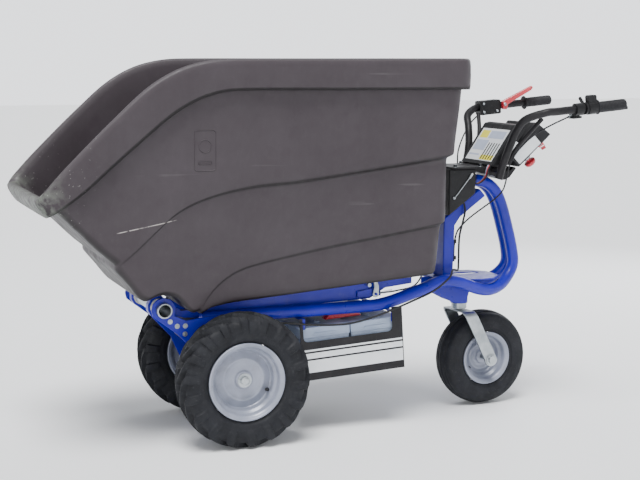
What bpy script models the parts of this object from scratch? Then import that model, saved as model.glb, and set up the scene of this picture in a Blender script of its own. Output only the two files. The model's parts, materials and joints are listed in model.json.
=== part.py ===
"""Battery-driven power wheelbarrow: two driven front wheels, a rear caster, and a tub that tips forward.

Every length is in metres. Inside this file X runs from the drive axle towards the handles, Y across
the machine (the near side is negative) and Z up from the ground. The empty "wheelbarrow" moves it all
so that the middle of the whole box stands over the origin.
"""
import math

import bmesh
import bpy
from mathutils import Matrix, Vector

# Driving dimensions
BOX_MIDDLE_X = 0.3589         # from the drive axle to the middle of the whole machine
GAP = 0.0003                  # between pieces that touch

WHEEL_RADIUS = 0.200
WHEEL_MIDDLE_Y = 0.235
WHEEL_HALF_WIDTH = 0.053
RIM_RADIUS = 0.1155
WHEEL_STEPS = 24

CASTER_RADIUS = 0.155
CASTER_HALF_WIDTH = 0.049
CASTER_RIM_RADIUS = 0.0865
SWIVEL_X = 0.813
CASTER_TRAIL = 0.083
CASTER_YAW = math.radians(5)

PIVOT_X = -0.218              # tipping axis of the tub
PIVOT_Z = 0.407
PIVOT_TUBE_RADIUS = 0.0225
PIVOT_TUBE_HALF_LENGTH = 0.190

RAIL_RADIUS = 0.019
RAIL_Y = 0.145
HOOP_Y = 0.0200
BRACKET_Y = 0.1655            # inner face of the front brackets
BRACKET_THICKNESS = 0.006

TUB_WALL = 0.007
RIM_TOP_Z = 1.130
RIM_REAR_X = 0.713
RIM_HALF_WIDTH = 0.311
FLOOR_Z = 0.414               # tub floor above the axle end of its straight run
FLOOR_SLOPE = 0.080

BATTERY_LENGTH = 0.162
BATTERY_WIDTH = 0.345
BATTERY_HEIGHT = 0.165
TRAY_TILT = math.radians(3.4)
TRAY_HALF_WIDTH = 0.183
TRAY_SHEET = 0.003

BAR_RADIUS = 0.0125
BAR_START = (0.985, 0.236, 0.961)   # where the straight, gripped part of each handlebar begins
BAR_TILT = math.radians(5)
BAR_LENGTH = 0.286
GRIP_RADIUS = 0.0165
GRIP_START = 0.182

CONSOLE_HALF_WIDTH = 0.110

SUBFRAME_Y = 0.105            # bars under the tub
SUBFRAME_HALF = 0.013

LATCH_X = 0.462
LATCH_Y = -0.1325
LATCH_Z = 0.409
STRIKER_X = 0.440
STRIKER_Z = 0.438
PROP_X = 0.148
PROP_Y = -0.078
PROP_Z = 0.3920

PANEL_LOW = Vector((0.971, 0.783))    # (x, z) of the rear panel's two edges
PANEL_HIGH = Vector((1.085, 0.886))
ESTOP_ALONG = 0.058
ESTOP_Y = -0.048
KEY_ALONG = 0.140
KEY_Y = -0.005
BRAKE_PIVOT = (0.118, 0.034, -0.018)    # in the frame of the near bar end
RELEASE_PIVOT = (0.094, -0.026, 0.004)  # in the frame of the far bar end

SIDES = (("near", -1), ("far", 1))
UPRIGHT = Matrix.Rotation(math.radians(90), 4, "X")
ALONG_X = Matrix.Rotation(math.radians(-90), 4, "Z")


def paint(name, colour, roughness, metallic=0.0):
    """A plain material with one colour."""
    material = bpy.data.materials.new(name)
    material.use_nodes = True
    shader = material.node_tree.nodes["Principled BSDF"]
    shader.inputs["Base Color"].default_value = (*colour, 1)
    shader.inputs["Roughness"].default_value = roughness
    shader.inputs["Metallic"].default_value = metallic
    material.diffuse_color = (*colour, 1)
    return material


def make_paints():
    """The materials of the machine, by name."""
    return {
        "blue": paint("blue_paint", (0.02, 0.035, 0.45), 0.3, 0.1),
        "poly": paint("tub_polyethylene", (0.15, 0.13, 0.155), 0.45),
        "silver": paint("silver_paint", (0.52, 0.55, 0.62), 0.35, 0.4),
        "tyre": paint("tyre_rubber", (0.03, 0.032, 0.038), 0.8),
        "zinc": paint("zinc_plate", (0.62, 0.66, 0.68), 0.3, 0.9),
        "black": paint("black_plastic", (0.02, 0.02, 0.022), 0.45),
        "powder": paint("black_powder_coat", (0.018, 0.018, 0.02), 0.5, 0.1),
        "case": paint("battery_case", (0.42, 0.5, 0.65), 0.5),
        "red": paint("red_plastic", (0.65, 0.03, 0.05), 0.35),
        "cast": paint("cast_aluminium", (0.35, 0.36, 0.38), 0.5, 0.8),
        "rubber": paint("grip_rubber", (0.04, 0.04, 0.043), 0.75),
        "nylon": paint("bush_nylon", (0.6, 0.6, 0.55), 0.5),
    }


# Frames: each joint, and each straight bar end, has an empty that its pieces hang on.

def make_frame(name, matrix, parent=None):
    """An empty whose place is given in machine coordinates."""
    empty = bpy.data.objects.new(name, None)
    bpy.context.scene.collection.objects.link(empty)
    inner = matrix
    if parent:
        empty.parent = FRAMES[parent][0]
        inner = FRAMES[parent][1].inverted() @ matrix
    empty.matrix_basis = inner
    FRAMES[name] = (empty, matrix)


def bar_frame(side):
    """Frame of a straight bar end: X runs along the bar towards its tip."""
    place = Matrix.Translation((BAR_START[0], side * BAR_START[1], BAR_START[2]))
    return place @ Matrix.Rotation(-BAR_TILT, 4, "Y")


def make_frames():
    """Every frame of the machine, each placed in machine coordinates."""
    root = bpy.data.objects.new("wheelbarrow", None)
    bpy.context.scene.collection.objects.link(root)
    root.location.x = -BOX_MIDDLE_X
    FRAMES["wheelbarrow"] = (root, Matrix.Identity(4))
    make_frame("tub_pivot", Matrix.Translation((PIVOT_X, 0, PIVOT_Z)), "wheelbarrow")
    swivel = Matrix.Translation((SWIVEL_X, 0, 0)) @ Matrix.Rotation(CASTER_YAW, 4, "Z")
    make_frame("caster_swivel", swivel, "wheelbarrow")
    make_frame("caster_axle_line", swivel @ Matrix.Translation((CASTER_TRAIL, 0, CASTER_RADIUS)), "caster_swivel")
    for label, side in SIDES:
        make_frame("axle_" + label, Matrix.Translation((0, side * WHEEL_MIDDLE_Y, WHEEL_RADIUS)), "wheelbarrow")
        make_frame("bar_" + label, bar_frame(side), "wheelbarrow")
    make_frame("latch_pivot", Matrix.Translation((LATCH_X, LATCH_Y, LATCH_Z)), "wheelbarrow")
    make_frame("prop_pivot", Matrix.Translation((PROP_X, PROP_Y, PROP_Z)), "tub_pivot")
    lever = bar_frame(1) @ Matrix.Translation(RELEASE_PIVOT)
    make_frame("release_pivot", lever, "wheelbarrow")
    make_frame("brake_pivot", bar_frame(-1) @ Matrix.Translation(BRAKE_PIVOT), "wheelbarrow")
    make_frame("throttle_line", bar_frame(-1), "wheelbarrow")
    make_frame("estop_line", panel_frame(ESTOP_ALONG, ESTOP_Y), "wheelbarrow")
    make_frame("key_line", panel_frame(KEY_ALONG, KEY_Y), "wheelbarrow")


def adopt(piece, material, frame, local=False):
    """Hang a piece on a frame. Its points are in machine coordinates unless local is set."""
    bpy.context.scene.collection.objects.link(piece)
    empty, place = FRAMES[frame]
    piece.parent = empty
    piece.data.materials.append(PAINTS[material])
    if not local:
        piece.data.transform(place.inverted())
    return piece


def mesh_piece(name, points, faces, material, frame="wheelbarrow", local=False):
    """A closed mesh with its faces turned outwards and its round parts smooth."""
    mesh = bpy.data.meshes.new(name)
    mesh.from_pydata(points, [], faces)
    work = bmesh.new()
    work.from_mesh(mesh)
    bmesh.ops.recalc_face_normals(work, faces=work.faces)
    work.to_mesh(mesh)
    work.free()
    mesh.shade_smooth()
    mesh.set_sharp_from_angle(angle=math.radians(35))
    return adopt(bpy.data.objects.new(name, mesh), material, frame, local)


def bevel(piece, width, segments=2):
    """Round the sharp edges of a piece."""
    modifier = piece.modifiers.new("rounded_edges", "BEVEL")
    modifier.width = width
    modifier.segments = segments
    modifier.limit_method = "ANGLE"
    modifier.angle_limit = math.radians(40)
    return piece


def prism(name, outline, low, high, material, frame="wheelbarrow", local=False, axis="Y"):
    """A flat outline drawn out between two places along an axis.

    An outline lists (x, z) for axis Y, (x, y) for axis Z and (y, z) for axis X.
    """
    order = {"Y": lambda a, b, c: (a, c, b), "Z": lambda a, b, c: (a, b, c), "X": lambda a, b, c: (c, a, b)}[axis]
    count = len(outline)
    points = [order(a, b, low) for a, b in outline] + [order(a, b, high) for a, b in outline]
    faces = [tuple(range(count)), tuple(range(count, 2 * count))]
    faces += [(i, (i + 1) % count, (i + 1) % count + count, i + count) for i in range(count)]
    return mesh_piece(name, points, faces, material, frame, local)


def block(name, low, high, material, frame="wheelbarrow", local=False):
    """A box between two corners."""
    outline = [(low[0], low[2]), (high[0], low[2]), (high[0], high[2]), (low[0], high[2])]
    return prism(name, outline, low[1], high[1], material, frame, local)


def turned(name, profile, material, frame, steps=32, matrix=None, hollow=False, local=True):
    """A profile of (radius, along) pairs turned about Y, or about Y moved by a matrix.

    A hollow profile is a loop that keeps clear of the axis. Otherwise its two ends are capped.
    """
    matrix = matrix or Matrix.Identity(4)
    count = len(profile)
    points = []
    for step in range(steps):
        angle = 2 * math.pi * step / steps
        for radius, along in profile:
            points.append(matrix @ Vector((radius * math.cos(angle), along, radius * math.sin(angle))))
    faces = []
    spans = count if hollow else count - 1
    for step in range(steps):
        after = (step + 1) % steps
        for i in range(spans):
            j = (i + 1) % count
            faces.append((step * count + i, step * count + j, after * count + j, after * count + i))
    if not hollow:
        faces.append(tuple(step * count for step in range(steps)))
        faces.append(tuple(step * count + count - 1 for step in range(steps)))
    return mesh_piece(name, points, faces, material, frame, local)


def along_line(start, end):
    """A matrix that takes the Y axis to the line from start to end, with its origin at start."""
    direction = Vector(end) - Vector(start)
    return Matrix.Translation(start) @ Vector((0, 1, 0)).rotation_difference(direction).to_matrix().to_4x4()


def rod(name, start, end, radius, material, frame="wheelbarrow", steps=16, local=False):
    """A round bar between two points."""
    length = (Vector(end) - Vector(start)).length
    return turned(name, [(radius, 0), (radius, length)], material, frame, steps, along_line(start, end), local=local)


def hide_tool(piece):
    """Mark a piece as a tool that is not part of the machine."""
    piece.hide_render = True
    piece.display_type = "WIRE"
    return piece


def combine(piece, tool, operation):
    """Cut a tool out of a piece, or weld it on."""
    modifier = piece.modifiers.new(operation.lower() + "_" + tool.name, "BOOLEAN")
    modifier.operation = operation
    modifier.object = hide_tool(tool)
    return piece


def drill(piece, centre, radius, low, high, steps=20):
    """Cut a round hole along Y through a piece, between two places."""
    name = piece.name + "_hole_" + str(len(piece.modifiers))
    start = (centre[0], low, centre[1])
    end = (centre[0], high, centre[1])
    return combine(piece, rod(name, start, end, radius, "zinc", "wheelbarrow", steps), "DIFFERENCE")


def smooth_route(stops, spacing):
    """Points about one spacing apart on a smooth curve through the stops."""
    stops = [Vector(stop) for stop in stops]
    route = [stops[0]]
    for i in range(len(stops) - 1):
        before = stops[max(i - 1, 0)]
        start, end = stops[i], stops[i + 1]
        after = stops[min(i + 2, len(stops) - 1)]
        steps = max(1, round((end - start).length / spacing))
        for step in range(1, steps + 1):
            t = step / steps
            a = 2 * start + (end - before) * t
            b = (2 * before - 5 * start + 4 * end - after) * t * t
            c = (3 * start - before - 3 * end + after) * t * t * t
            route.append((a + b + c) / 2)
    return route


def tube(name, stops, radius, material, spacing, sides=10):
    """A solid round tube or cable bent along a smooth route."""
    curve = bpy.data.curves.new(name, "CURVE")
    curve.dimensions = "3D"
    curve.bevel_depth = radius
    curve.bevel_resolution = (sides - 4) // 2
    curve.use_fill_caps = True
    route = smooth_route(stops, spacing)
    spline = curve.splines.new("POLY")
    spline.points.add(len(route) - 1)
    for point, place in zip(spline.points, route):
        point.co = (*place, 1)
    return adopt(bpy.data.objects.new(name, curve), material, "wheelbarrow")


def mirrored(stops, side):
    """The same stops on one side of the machine."""
    return [(x, side * y, z) for x, y, z in stops]


# Wheels

def wheel_tyre(name, frame, radius, half_width, rim_radius):
    """A hollow tyre that is open towards its rim."""
    bead = half_width * 0.80
    wall = 0.009
    profile = [(rim_radius + 0.0015, bead)]
    shape = ((0.12, 0.94), (0.50, 1.00), (0.88, 0.82), (1.00, 0.40))
    depth = radius - rim_radius
    profile += [(rim_radius + depth * out, half_width * across) for out, across in shape]
    profile += [(r, -y) for r, y in reversed(profile)]
    inner = [(r - wall, y * 0.82) for r, y in profile[2:-2:2] + profile[-3:-2]]
    inner = [(rim_radius + 0.0015, bead - wall)] + inner + [(rim_radius + 0.0015, wall - bead)]
    turned(name, profile + inner[::-1], "tyre", frame, WHEEL_STEPS, hollow=True)


def wheel_rim(name, frame, rim_radius, half_width, side, hub_radius, bore, disc_at):
    """A dished steel rim: rolled flanges, a drop centre and a disc with its hub."""
    edge = half_width * 0.90
    outer = [(rim_radius, edge), (rim_radius, edge - 0.004), (rim_radius - 0.008, edge - 0.008)]
    outer += [(rim_radius - 0.024, edge - 0.030)]
    outer += [(r, -y) for r, y in reversed(outer)]
    inner_far = [(rim_radius - 0.0045, -edge), (rim_radius - 0.027, 0.028 - edge)]
    disc = [(rim_radius - 0.027, disc_at - 0.002), (hub_radius, disc_at - 0.012)]
    hub = [(hub_radius, -0.030), (bore, -0.030), (bore, disc_at + 0.001), (hub_radius, disc_at + 0.001)]
    step = [(rim_radius * 0.45, disc_at - 0.004), (rim_radius * 0.50, disc_at + 0.003)]
    inner_near = [(rim_radius - 0.027, disc_at + 0.004), (rim_radius - 0.0045, edge)]
    profile = outer + inner_far + disc + hub + step + inner_near
    turned(name, [(r, side * y) for r, y in profile], "silver", frame, WHEEL_STEPS, hollow=True)


def make_drive_wheels():
    """Tyre, rim and drive shaft of each front wheel."""
    for label, side in SIDES:
        frame = "axle_" + label
        wheel_tyre("tyre_" + label, frame, WHEEL_RADIUS, WHEEL_HALF_WIDTH, RIM_RADIUS)
        wheel_rim("rim_" + label, frame, RIM_RADIUS, WHEEL_HALF_WIDTH, side, 0.026, 0.0128, 0.014)
        shaft = [(0.0125, -0.080), (0.0125, 0.0165), (0.021, 0.0165), (0.021, 0.020)]
        shaft += [(0.013, 0.020), (0.013, 0.030), (0.007, 0.033)]
        turned("drive_shaft_" + label, [(r, side * y) for r, y in shaft], "zinc", frame, 20)


def make_caster():
    """Swivel fork, its bearing and axle, and the wheel between its arms."""
    crown_z, crown_thick, arm_y, strap = 0.318, 0.008, 0.0665, 0.046
    bend = 0.024
    section = [(-arm_y - crown_thick / 2, 0.137)]
    section += [(-arm_y - crown_thick / 2, crown_z - bend)]
    section += [arc_point(-arm_y + bend - 0.004, crown_z - bend + 0.004, bend, a) for a in (150, 120, 90)]
    section += [(-y, z) for y, z in reversed(section)]
    inner = [(arm_y - crown_thick / 2, 0.137), (arm_y - crown_thick / 2, crown_z - bend)]
    inner += [arc_point(arm_y - bend + 0.004, crown_z - bend + 0.004, bend - crown_thick, a) for a in (30, 60, 90)]
    inner += [(-y, z) for y, z in reversed(inner)]
    fork = prism("caster_fork", section + inner, -strap / 2, strap / 2, "zinc", "caster_swivel", True, "X")
    rake = CASTER_TRAIL / (crown_z - CASTER_RADIUS)
    for vertex in fork.data.vertices:
        vertex.co.x += max(0.0, crown_z - vertex.co.z) * rake
    kingpin = turned("kingpin", [(0.0125, 0.319), (0.0125, 0.402)], "zinc", "caster_swivel", 20, UPRIGHT)
    combine(fork, kingpin, "UNION")
    hole = rod("fork_axle_hole", (CASTER_TRAIL, -0.1, CASTER_RADIUS), (CASTER_TRAIL, 0.1, CASTER_RADIUS), 0.0083, "zinc",
               "caster_swivel", 20, True)
    combine(fork, hole, "DIFFERENCE")
    ring = [(0.0128, 0.3225), (0.025, 0.3225), (0.025, 0.3395), (0.0128, 0.3395)]
    turned("swivel_bearing", ring, "zinc", "caster_swivel", 24, UPRIGHT, hollow=True)
    head = [(0.013, -0.081), (0.013, -0.0712), (0.008, -0.0712)]
    axle = head + [(0.008, 0.0712), (0.013, 0.0712), (0.013, 0.081)]
    turned("caster_axle", axle, "zinc", "caster_swivel", 18, Matrix.Translation((CASTER_TRAIL, 0, CASTER_RADIUS)))
    wheel_tyre("caster_tyre", "caster_axle_line", CASTER_RADIUS, CASTER_HALF_WIDTH, CASTER_RIM_RADIUS)
    wheel_rim("caster_rim", "caster_axle_line", CASTER_RIM_RADIUS, CASTER_HALF_WIDTH, -1, 0.022, 0.0085, 0.010)


def arc_point(across, up, radius, degrees):
    """A point on a circle."""
    return (across + radius * math.cos(math.radians(degrees)), up + radius * math.sin(math.radians(degrees)))


# Chassis

def make_frame_tubes():
    """The two long tubes: along the batteries, up over the caster, round the rear hoop to its head."""
    stops = [(-0.100, RAIL_Y, 0.373), (0.150, RAIL_Y, 0.373), (0.400, RAIL_Y, 0.375), (0.490, RAIL_Y, 0.381)]
    stops += [(0.610, 0.141, 0.414), (0.683, 0.132, 0.435), (0.734, 0.125, 0.432), (0.780, 0.114, 0.418)]
    stops += [(0.830, 0.099, 0.399), (0.881, 0.080, 0.390), (0.929, 0.058, 0.398), (0.969, 0.034, 0.422)]
    stops += [(0.995, HOOP_Y + 0.003, 0.462), (0.990, HOOP_Y, 0.519), (0.970, HOOP_Y, 0.596), (0.950, HOOP_Y, 0.660)]
    stops += [(0.926, HOOP_Y, 0.705), (0.892, HOOP_Y, 0.731), (0.852, HOOP_Y, 0.741)]
    for label, side in SIDES:
        tube("frame_tube_" + label, mirrored(stops, side), RAIL_RADIUS, "blue", 0.035, 10)


def make_column():
    """The bent box-section column between the deck and the head of the hoop."""
    outline = [(0.736, 0.4305), (0.771, 0.4305), (0.776, 0.597), (0.795, 0.624), (0.884, 0.689), (0.864, 0.713)]
    outline += [(0.738, 0.622)]
    bevel(prism("column", outline, -0.040, 0.040, "blue"), 0.004)
    deck = [(0.715, 0.092), (0.805, 0.092), (0.840, 0.102), (0.890, 0.092), (0.934, 0.046)]
    deck += [(x, -y) for x, y in reversed(deck)]
    plate = prism("deck_plate", deck, 0.426, 0.430, "blue", axis="Z")
    slot = prism("deck_slot", rounded_box(0.800, 0.020, 0.900, 0.050, 0.0149, 4), 0.420, 0.436, "blue", axis="Z")
    combine(plate, slot, "DIFFERENCE")
    housing = [(0.0131, 0.3402), (0.0285, 0.3402), (0.0285, 0.4255), (0.0131, 0.4255)]
    place = Matrix.Translation((SWIVEL_X, 0, 0)) @ UPRIGHT
    socket = turned("caster_housing", housing, "blue", "wheelbarrow", 24, place, hollow=True, local=False)
    gusset = [(0.690, 0.4255), (0.690, 0.392), (0.765, 0.352), (0.790, 0.342), (0.823, 0.342), (0.848, 0.4255)]
    for label, side in SIDES:
        low, high = sorted((side * 0.0255, side * 0.0315))
        combine(socket, prism("gusset_" + label, gusset, low, high, "blue"), "UNION")


def rounded_box(x0, z0, x1, z1, radius, steps=3):
    """An outline of a rectangle with round corners."""
    outline = []
    corners = ((x1 - radius, z1 - radius, 0), (x0 + radius, z1 - radius, 90))
    corners += ((x0 + radius, z0 + radius, 180), (x1 - radius, z0 + radius, 270))
    for x, z, first in corners:
        outline += [arc_point(x, z, radius, first + 90 * i / steps) for i in range(steps + 1)]
    return outline


def make_front_brackets():
    """The two plates that carry the tipping tube and the axle ends, and the tube itself."""
    boss = [arc_point(PIVOT_X, PIVOT_Z, 0.036, a) for a in range(-30, 211, 30)]
    outline = boss + [(-0.176, 0.332), (-0.112, 0.262), (-0.072, 0.175), (-0.040, 0.152)]
    outline += [(0.040, 0.152), (0.072, 0.180), (0.072, 0.255), (0.050, 0.345), (0.050, 0.390), (-0.100, 0.378)]
    outline += [(-0.150, 0.372)]
    for label, side in SIDES:
        low, high = sorted((side * BRACKET_Y, side * (BRACKET_Y + BRACKET_THICKNESS)))
        plate = bevel(prism("front_bracket_" + label, outline, low, high, "blue"), 0.0012, 1)
        drill(plate, (PIVOT_X, PIVOT_Z), PIVOT_TUBE_RADIUS + GAP, low - 0.01, high + 0.01, 28)
        drill(plate, (0, WHEEL_RADIUS), 0.016, low - 0.01, high + 0.01)
    half = PIVOT_TUBE_HALF_LENGTH
    wall = [(PIVOT_TUBE_RADIUS, -half), (PIVOT_TUBE_RADIUS, half), (0.0175, half), (0.0175, -half)]
    place = Matrix.Translation((PIVOT_X, 0, PIVOT_Z))
    turned("pivot_tube", wall, "zinc", "wheelbarrow", 28, place, hollow=True, local=False)


def make_drive():
    """Gearbox with its axle tubes, and the motor that lies across the machine above it."""
    case = [(-0.085, 0.160), (-0.050, 0.125), (0.050, 0.125), (0.080, 0.160), (0.080, 0.235), (0.045, 0.262)]
    case += [(-0.060, 0.262), (-0.085, 0.235)]
    gearbox = prism("gearbox_housing", case, -0.055, 0.055, "cast")
    end = BRACKET_Y - GAP
    arms = [(0.042, -end), (0.042, -end + 0.010), (0.028, -end + 0.012), (0.028, end - 0.012), (0.042, end - 0.010)]
    arms += [(0.042, end)]
    tubes = turned("axle_tubes", arms, "cast", "wheelbarrow", 24, Matrix.Translation((0, 0, WHEEL_RADIUS)), local=False)
    combine(gearbox, tubes, "UNION")
    drill(gearbox, (0, WHEEL_RADIUS), 0.0135, -end - 0.01, -0.070)
    drill(gearbox, (0, WHEEL_RADIUS), 0.0135, 0.070, end + 0.01)
    motor = [(0.030, -0.118), (0.043, -0.112), (0.043, -0.085)]
    for fin in range(4):
        start = -0.078 + 0.040 * fin
        motor += [(0.046, start), (0.046, start + 0.022), (0.041, start + 0.024), (0.041, start + 0.038)]
    motor += [(0.046, 0.084), (0.046, 0.104), (0.030, 0.112)]
    turned("drive_motor", motor, "cast", "wheelbarrow", 18, Matrix.Translation((-0.078, 0, 0.3105)), local=False)


def tilted(x, z):
    """A point of the battery tray, which slopes up towards the rear."""
    cosine, sine = math.cos(TRAY_TILT), math.sin(TRAY_TILT)
    return (0.206 + x * cosine - z * sine, 0.164 + x * sine + z * cosine)


def make_battery_tray():
    """A folded sheet cradle with windows in its side panels, and the hangers that hold it."""
    length, height, sheet = 0.334, 0.192, TRAY_SHEET
    half = TRAY_HALF_WIDTH
    section = [(-half, 0), (half, 0), (half, height), (half - sheet, height), (half - sheet, sheet)]
    section += [(sheet - half, sheet), (sheet - half, height), (-half, height)]
    tray = prism("battery_tray", section, 0, length, "powder", "wheelbarrow", True, "X")
    window = rounded_box(0.010, 0.118, 0.300, 0.230, 0.014)
    combine(tray, prism("tray_windows", window, -0.3, 0.3, "powder", "wheelbarrow", True), "DIFFERENCE")
    place = Matrix.Translation((0.206, 0, 0.164)) @ Matrix.Rotation(-TRAY_TILT, 4, "Y")
    for piece in (tray, bpy.data.objects["tray_windows"]):
        piece.data.transform(place)
    for number, name in enumerate(("battery_front", "battery_rear")):
        start = 0.002 + number * (BATTERY_LENGTH + 0.003)
        bottom = sheet + GAP
        outline = [(start, bottom), (start + BATTERY_LENGTH, bottom)]
        outline += [(start + BATTERY_LENGTH, BATTERY_HEIGHT), (start, BATTERY_HEIGHT)]
        outline = [tilted(x, z) for x, z in outline]
        bevel(prism(name, outline, -BATTERY_WIDTH / 2, BATTERY_WIDTH / 2, "case"), 0.004)
    cover = [tilted(x, z) for x, z in ((0.105, 0.1655), (0.226, 0.1655), (0.212, 0.181), (0.120, 0.181))]
    bevel(prism("terminal_cover", cover, -0.120, -0.085, "red"), 0.003)
    for name, x, z in (("hanger_front", 0.201, 0.3495), ("hanger_rear", 0.495, 0.3570)):
        reach = TRAY_HALF_WIDTH - TRAY_SHEET - GAP
        inset = reach - 0.004
        top = z + 0.004
        drop = z - 0.028
        section = [(-reach, drop), (-inset, drop), (-inset, z), (inset, z), (inset, drop), (reach, drop)]
        section += [(reach, top), (-reach, top)]
        prism(name, section, x, x + 0.013, "blue", axis="X")


def make_chassis():
    """Everything that stays with the frame."""
    make_frame_tubes()
    make_column()
    make_front_brackets()
    make_drive()
    make_battery_tray()


# Tub

RIM_LINE = [(0.7130, 1.130), (0.350, 1.130), (-0.020, 1.130), (-0.100, 1.124), (-0.180, 1.104), (-0.268, 1.057)]
RIM_LINE += [(-0.361, 0.979), (-0.450, 0.898), (-0.528, 0.824), (-0.595, 0.754)]
SKIRT_LINE = [(0.7130, 1.033), (0.350, 1.034), (0.010, 1.036), (-0.070, 1.030), (-0.140, 1.008), (-0.215, 0.965)]
SKIRT_LINE += [(-0.300, 0.897), (-0.385, 0.828), (-0.470, 0.757), (-0.568, 0.696)]
UPPER_LINE = [(0.688, 1.033), (0.350, 1.034), (0.010, 1.036), (-0.070, 1.030), (-0.140, 1.008), (-0.215, 0.965)]
UPPER_LINE += [(-0.300, 0.897), (-0.385, 0.828), (-0.460, 0.762), (-0.530, 0.706)]
MIDDLE_LINE = [(0.665, 0.838), (0.460, 0.811), (0.320, 0.793), (0.160, 0.774), (0.030, 0.764), (-0.090, 0.740)]
MIDDLE_LINE += [(-0.185, 0.702), (-0.258, 0.643), (-0.315, 0.592), (-0.372, 0.548)]
LOWER_LINE = [(0.648, 0.634), (0.450, 0.603), (0.290, 0.579), (0.170, 0.558), (0.050, 0.535), (-0.010, 0.517)]
LOWER_LINE += [(-0.055, 0.490), (-0.092, 0.455), (-0.113, 0.425), (-0.124, 0.4005)]


def floor_z(x):
    """Height of the underside of the tub floor."""
    return FLOOR_Z + FLOOR_SLOPE * (x + 0.05)


def resample(line, count):
    """Points at even steps along a smooth line of (x, z) pairs."""
    route = smooth_route([(x, 0, z) for x, z in line], 0.012)
    lengths = [0.0]
    for a, b in zip(route, route[1:]):
        lengths.append(lengths[-1] + (b - a).length)
    points = []
    i = 0
    for step in range(count):
        wanted = lengths[-1] * step / (count - 1)
        while i < len(route) - 2 and lengths[i + 1] < wanted:
            i += 1
        t = (wanted - lengths[i]) / (lengths[i + 1] - lengths[i])
        points.append(route[i].lerp(route[i + 1], t))
    return points


def tub_ring(line, rear_half, front_half, rear_radius, front_radius, side_steps=11):
    """A closed belt round the tub that follows one side line and has round corners."""
    points = resample(line, 61)
    lengths = [0.0]
    for a, b in zip(points, points[1:]):
        lengths.append(lengths[-1] + (b - a).length)
    total = lengths[-1]

    def at(distance):
        i = min(range(len(lengths) - 1), key=lambda k: 0 if lengths[k] <= distance <= lengths[k + 1] else 1)
        t = (distance - lengths[i]) / (lengths[i + 1] - lengths[i])
        return points[i].lerp(points[i + 1], min(max(t, 0), 1))

    half = []
    for angle in (90, 60, 30):
        back = rear_radius * (1 - math.sin(math.radians(angle)))
        place = at(back)
        half.append((place.x, rear_half - rear_radius * (1 - math.cos(math.radians(angle))), place.z))
    for step in range(side_steps):
        t = step / (side_steps - 1)
        place = at(rear_radius + (total - rear_radius - front_radius) * t)
        half.append((place.x, rear_half + (front_half - rear_half) * t, place.z))
    for angle in (30, 60, 90):
        back = front_radius * (1 - math.sin(math.radians(angle)))
        place = at(total - back)
        half.append((place.x, front_half - front_radius * (1 - math.cos(math.radians(angle))), place.z))
    near = [(x, -y, z) for x, y, z in half]
    return near + half[::-1]


def shifted(line, rear, front, drop):
    """A line with its ends moved along X and all of it moved down."""
    count = len(line) - 1
    return [(x + rear + (front - rear) * (i / count) ** 2, z - drop) for i, (x, z) in enumerate(line)]


def between(first, second, share, end):
    """A line part of the way from one line to another, with its front end led to a given point."""
    count = len(first) - 1
    line = [(a[0] + (b[0] - a[0]) * share, a[1] + (b[1] - a[1]) * share) for a, b in zip(first, second)]
    if end:
        gap_x, gap_z = end[0] - line[-1][0], end[1] - line[-1][1]
        line = [(x + gap_x * (i / count) ** 4, z + gap_z * (i / count) ** 4) for i, (x, z) in enumerate(line)]
    return line


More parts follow.
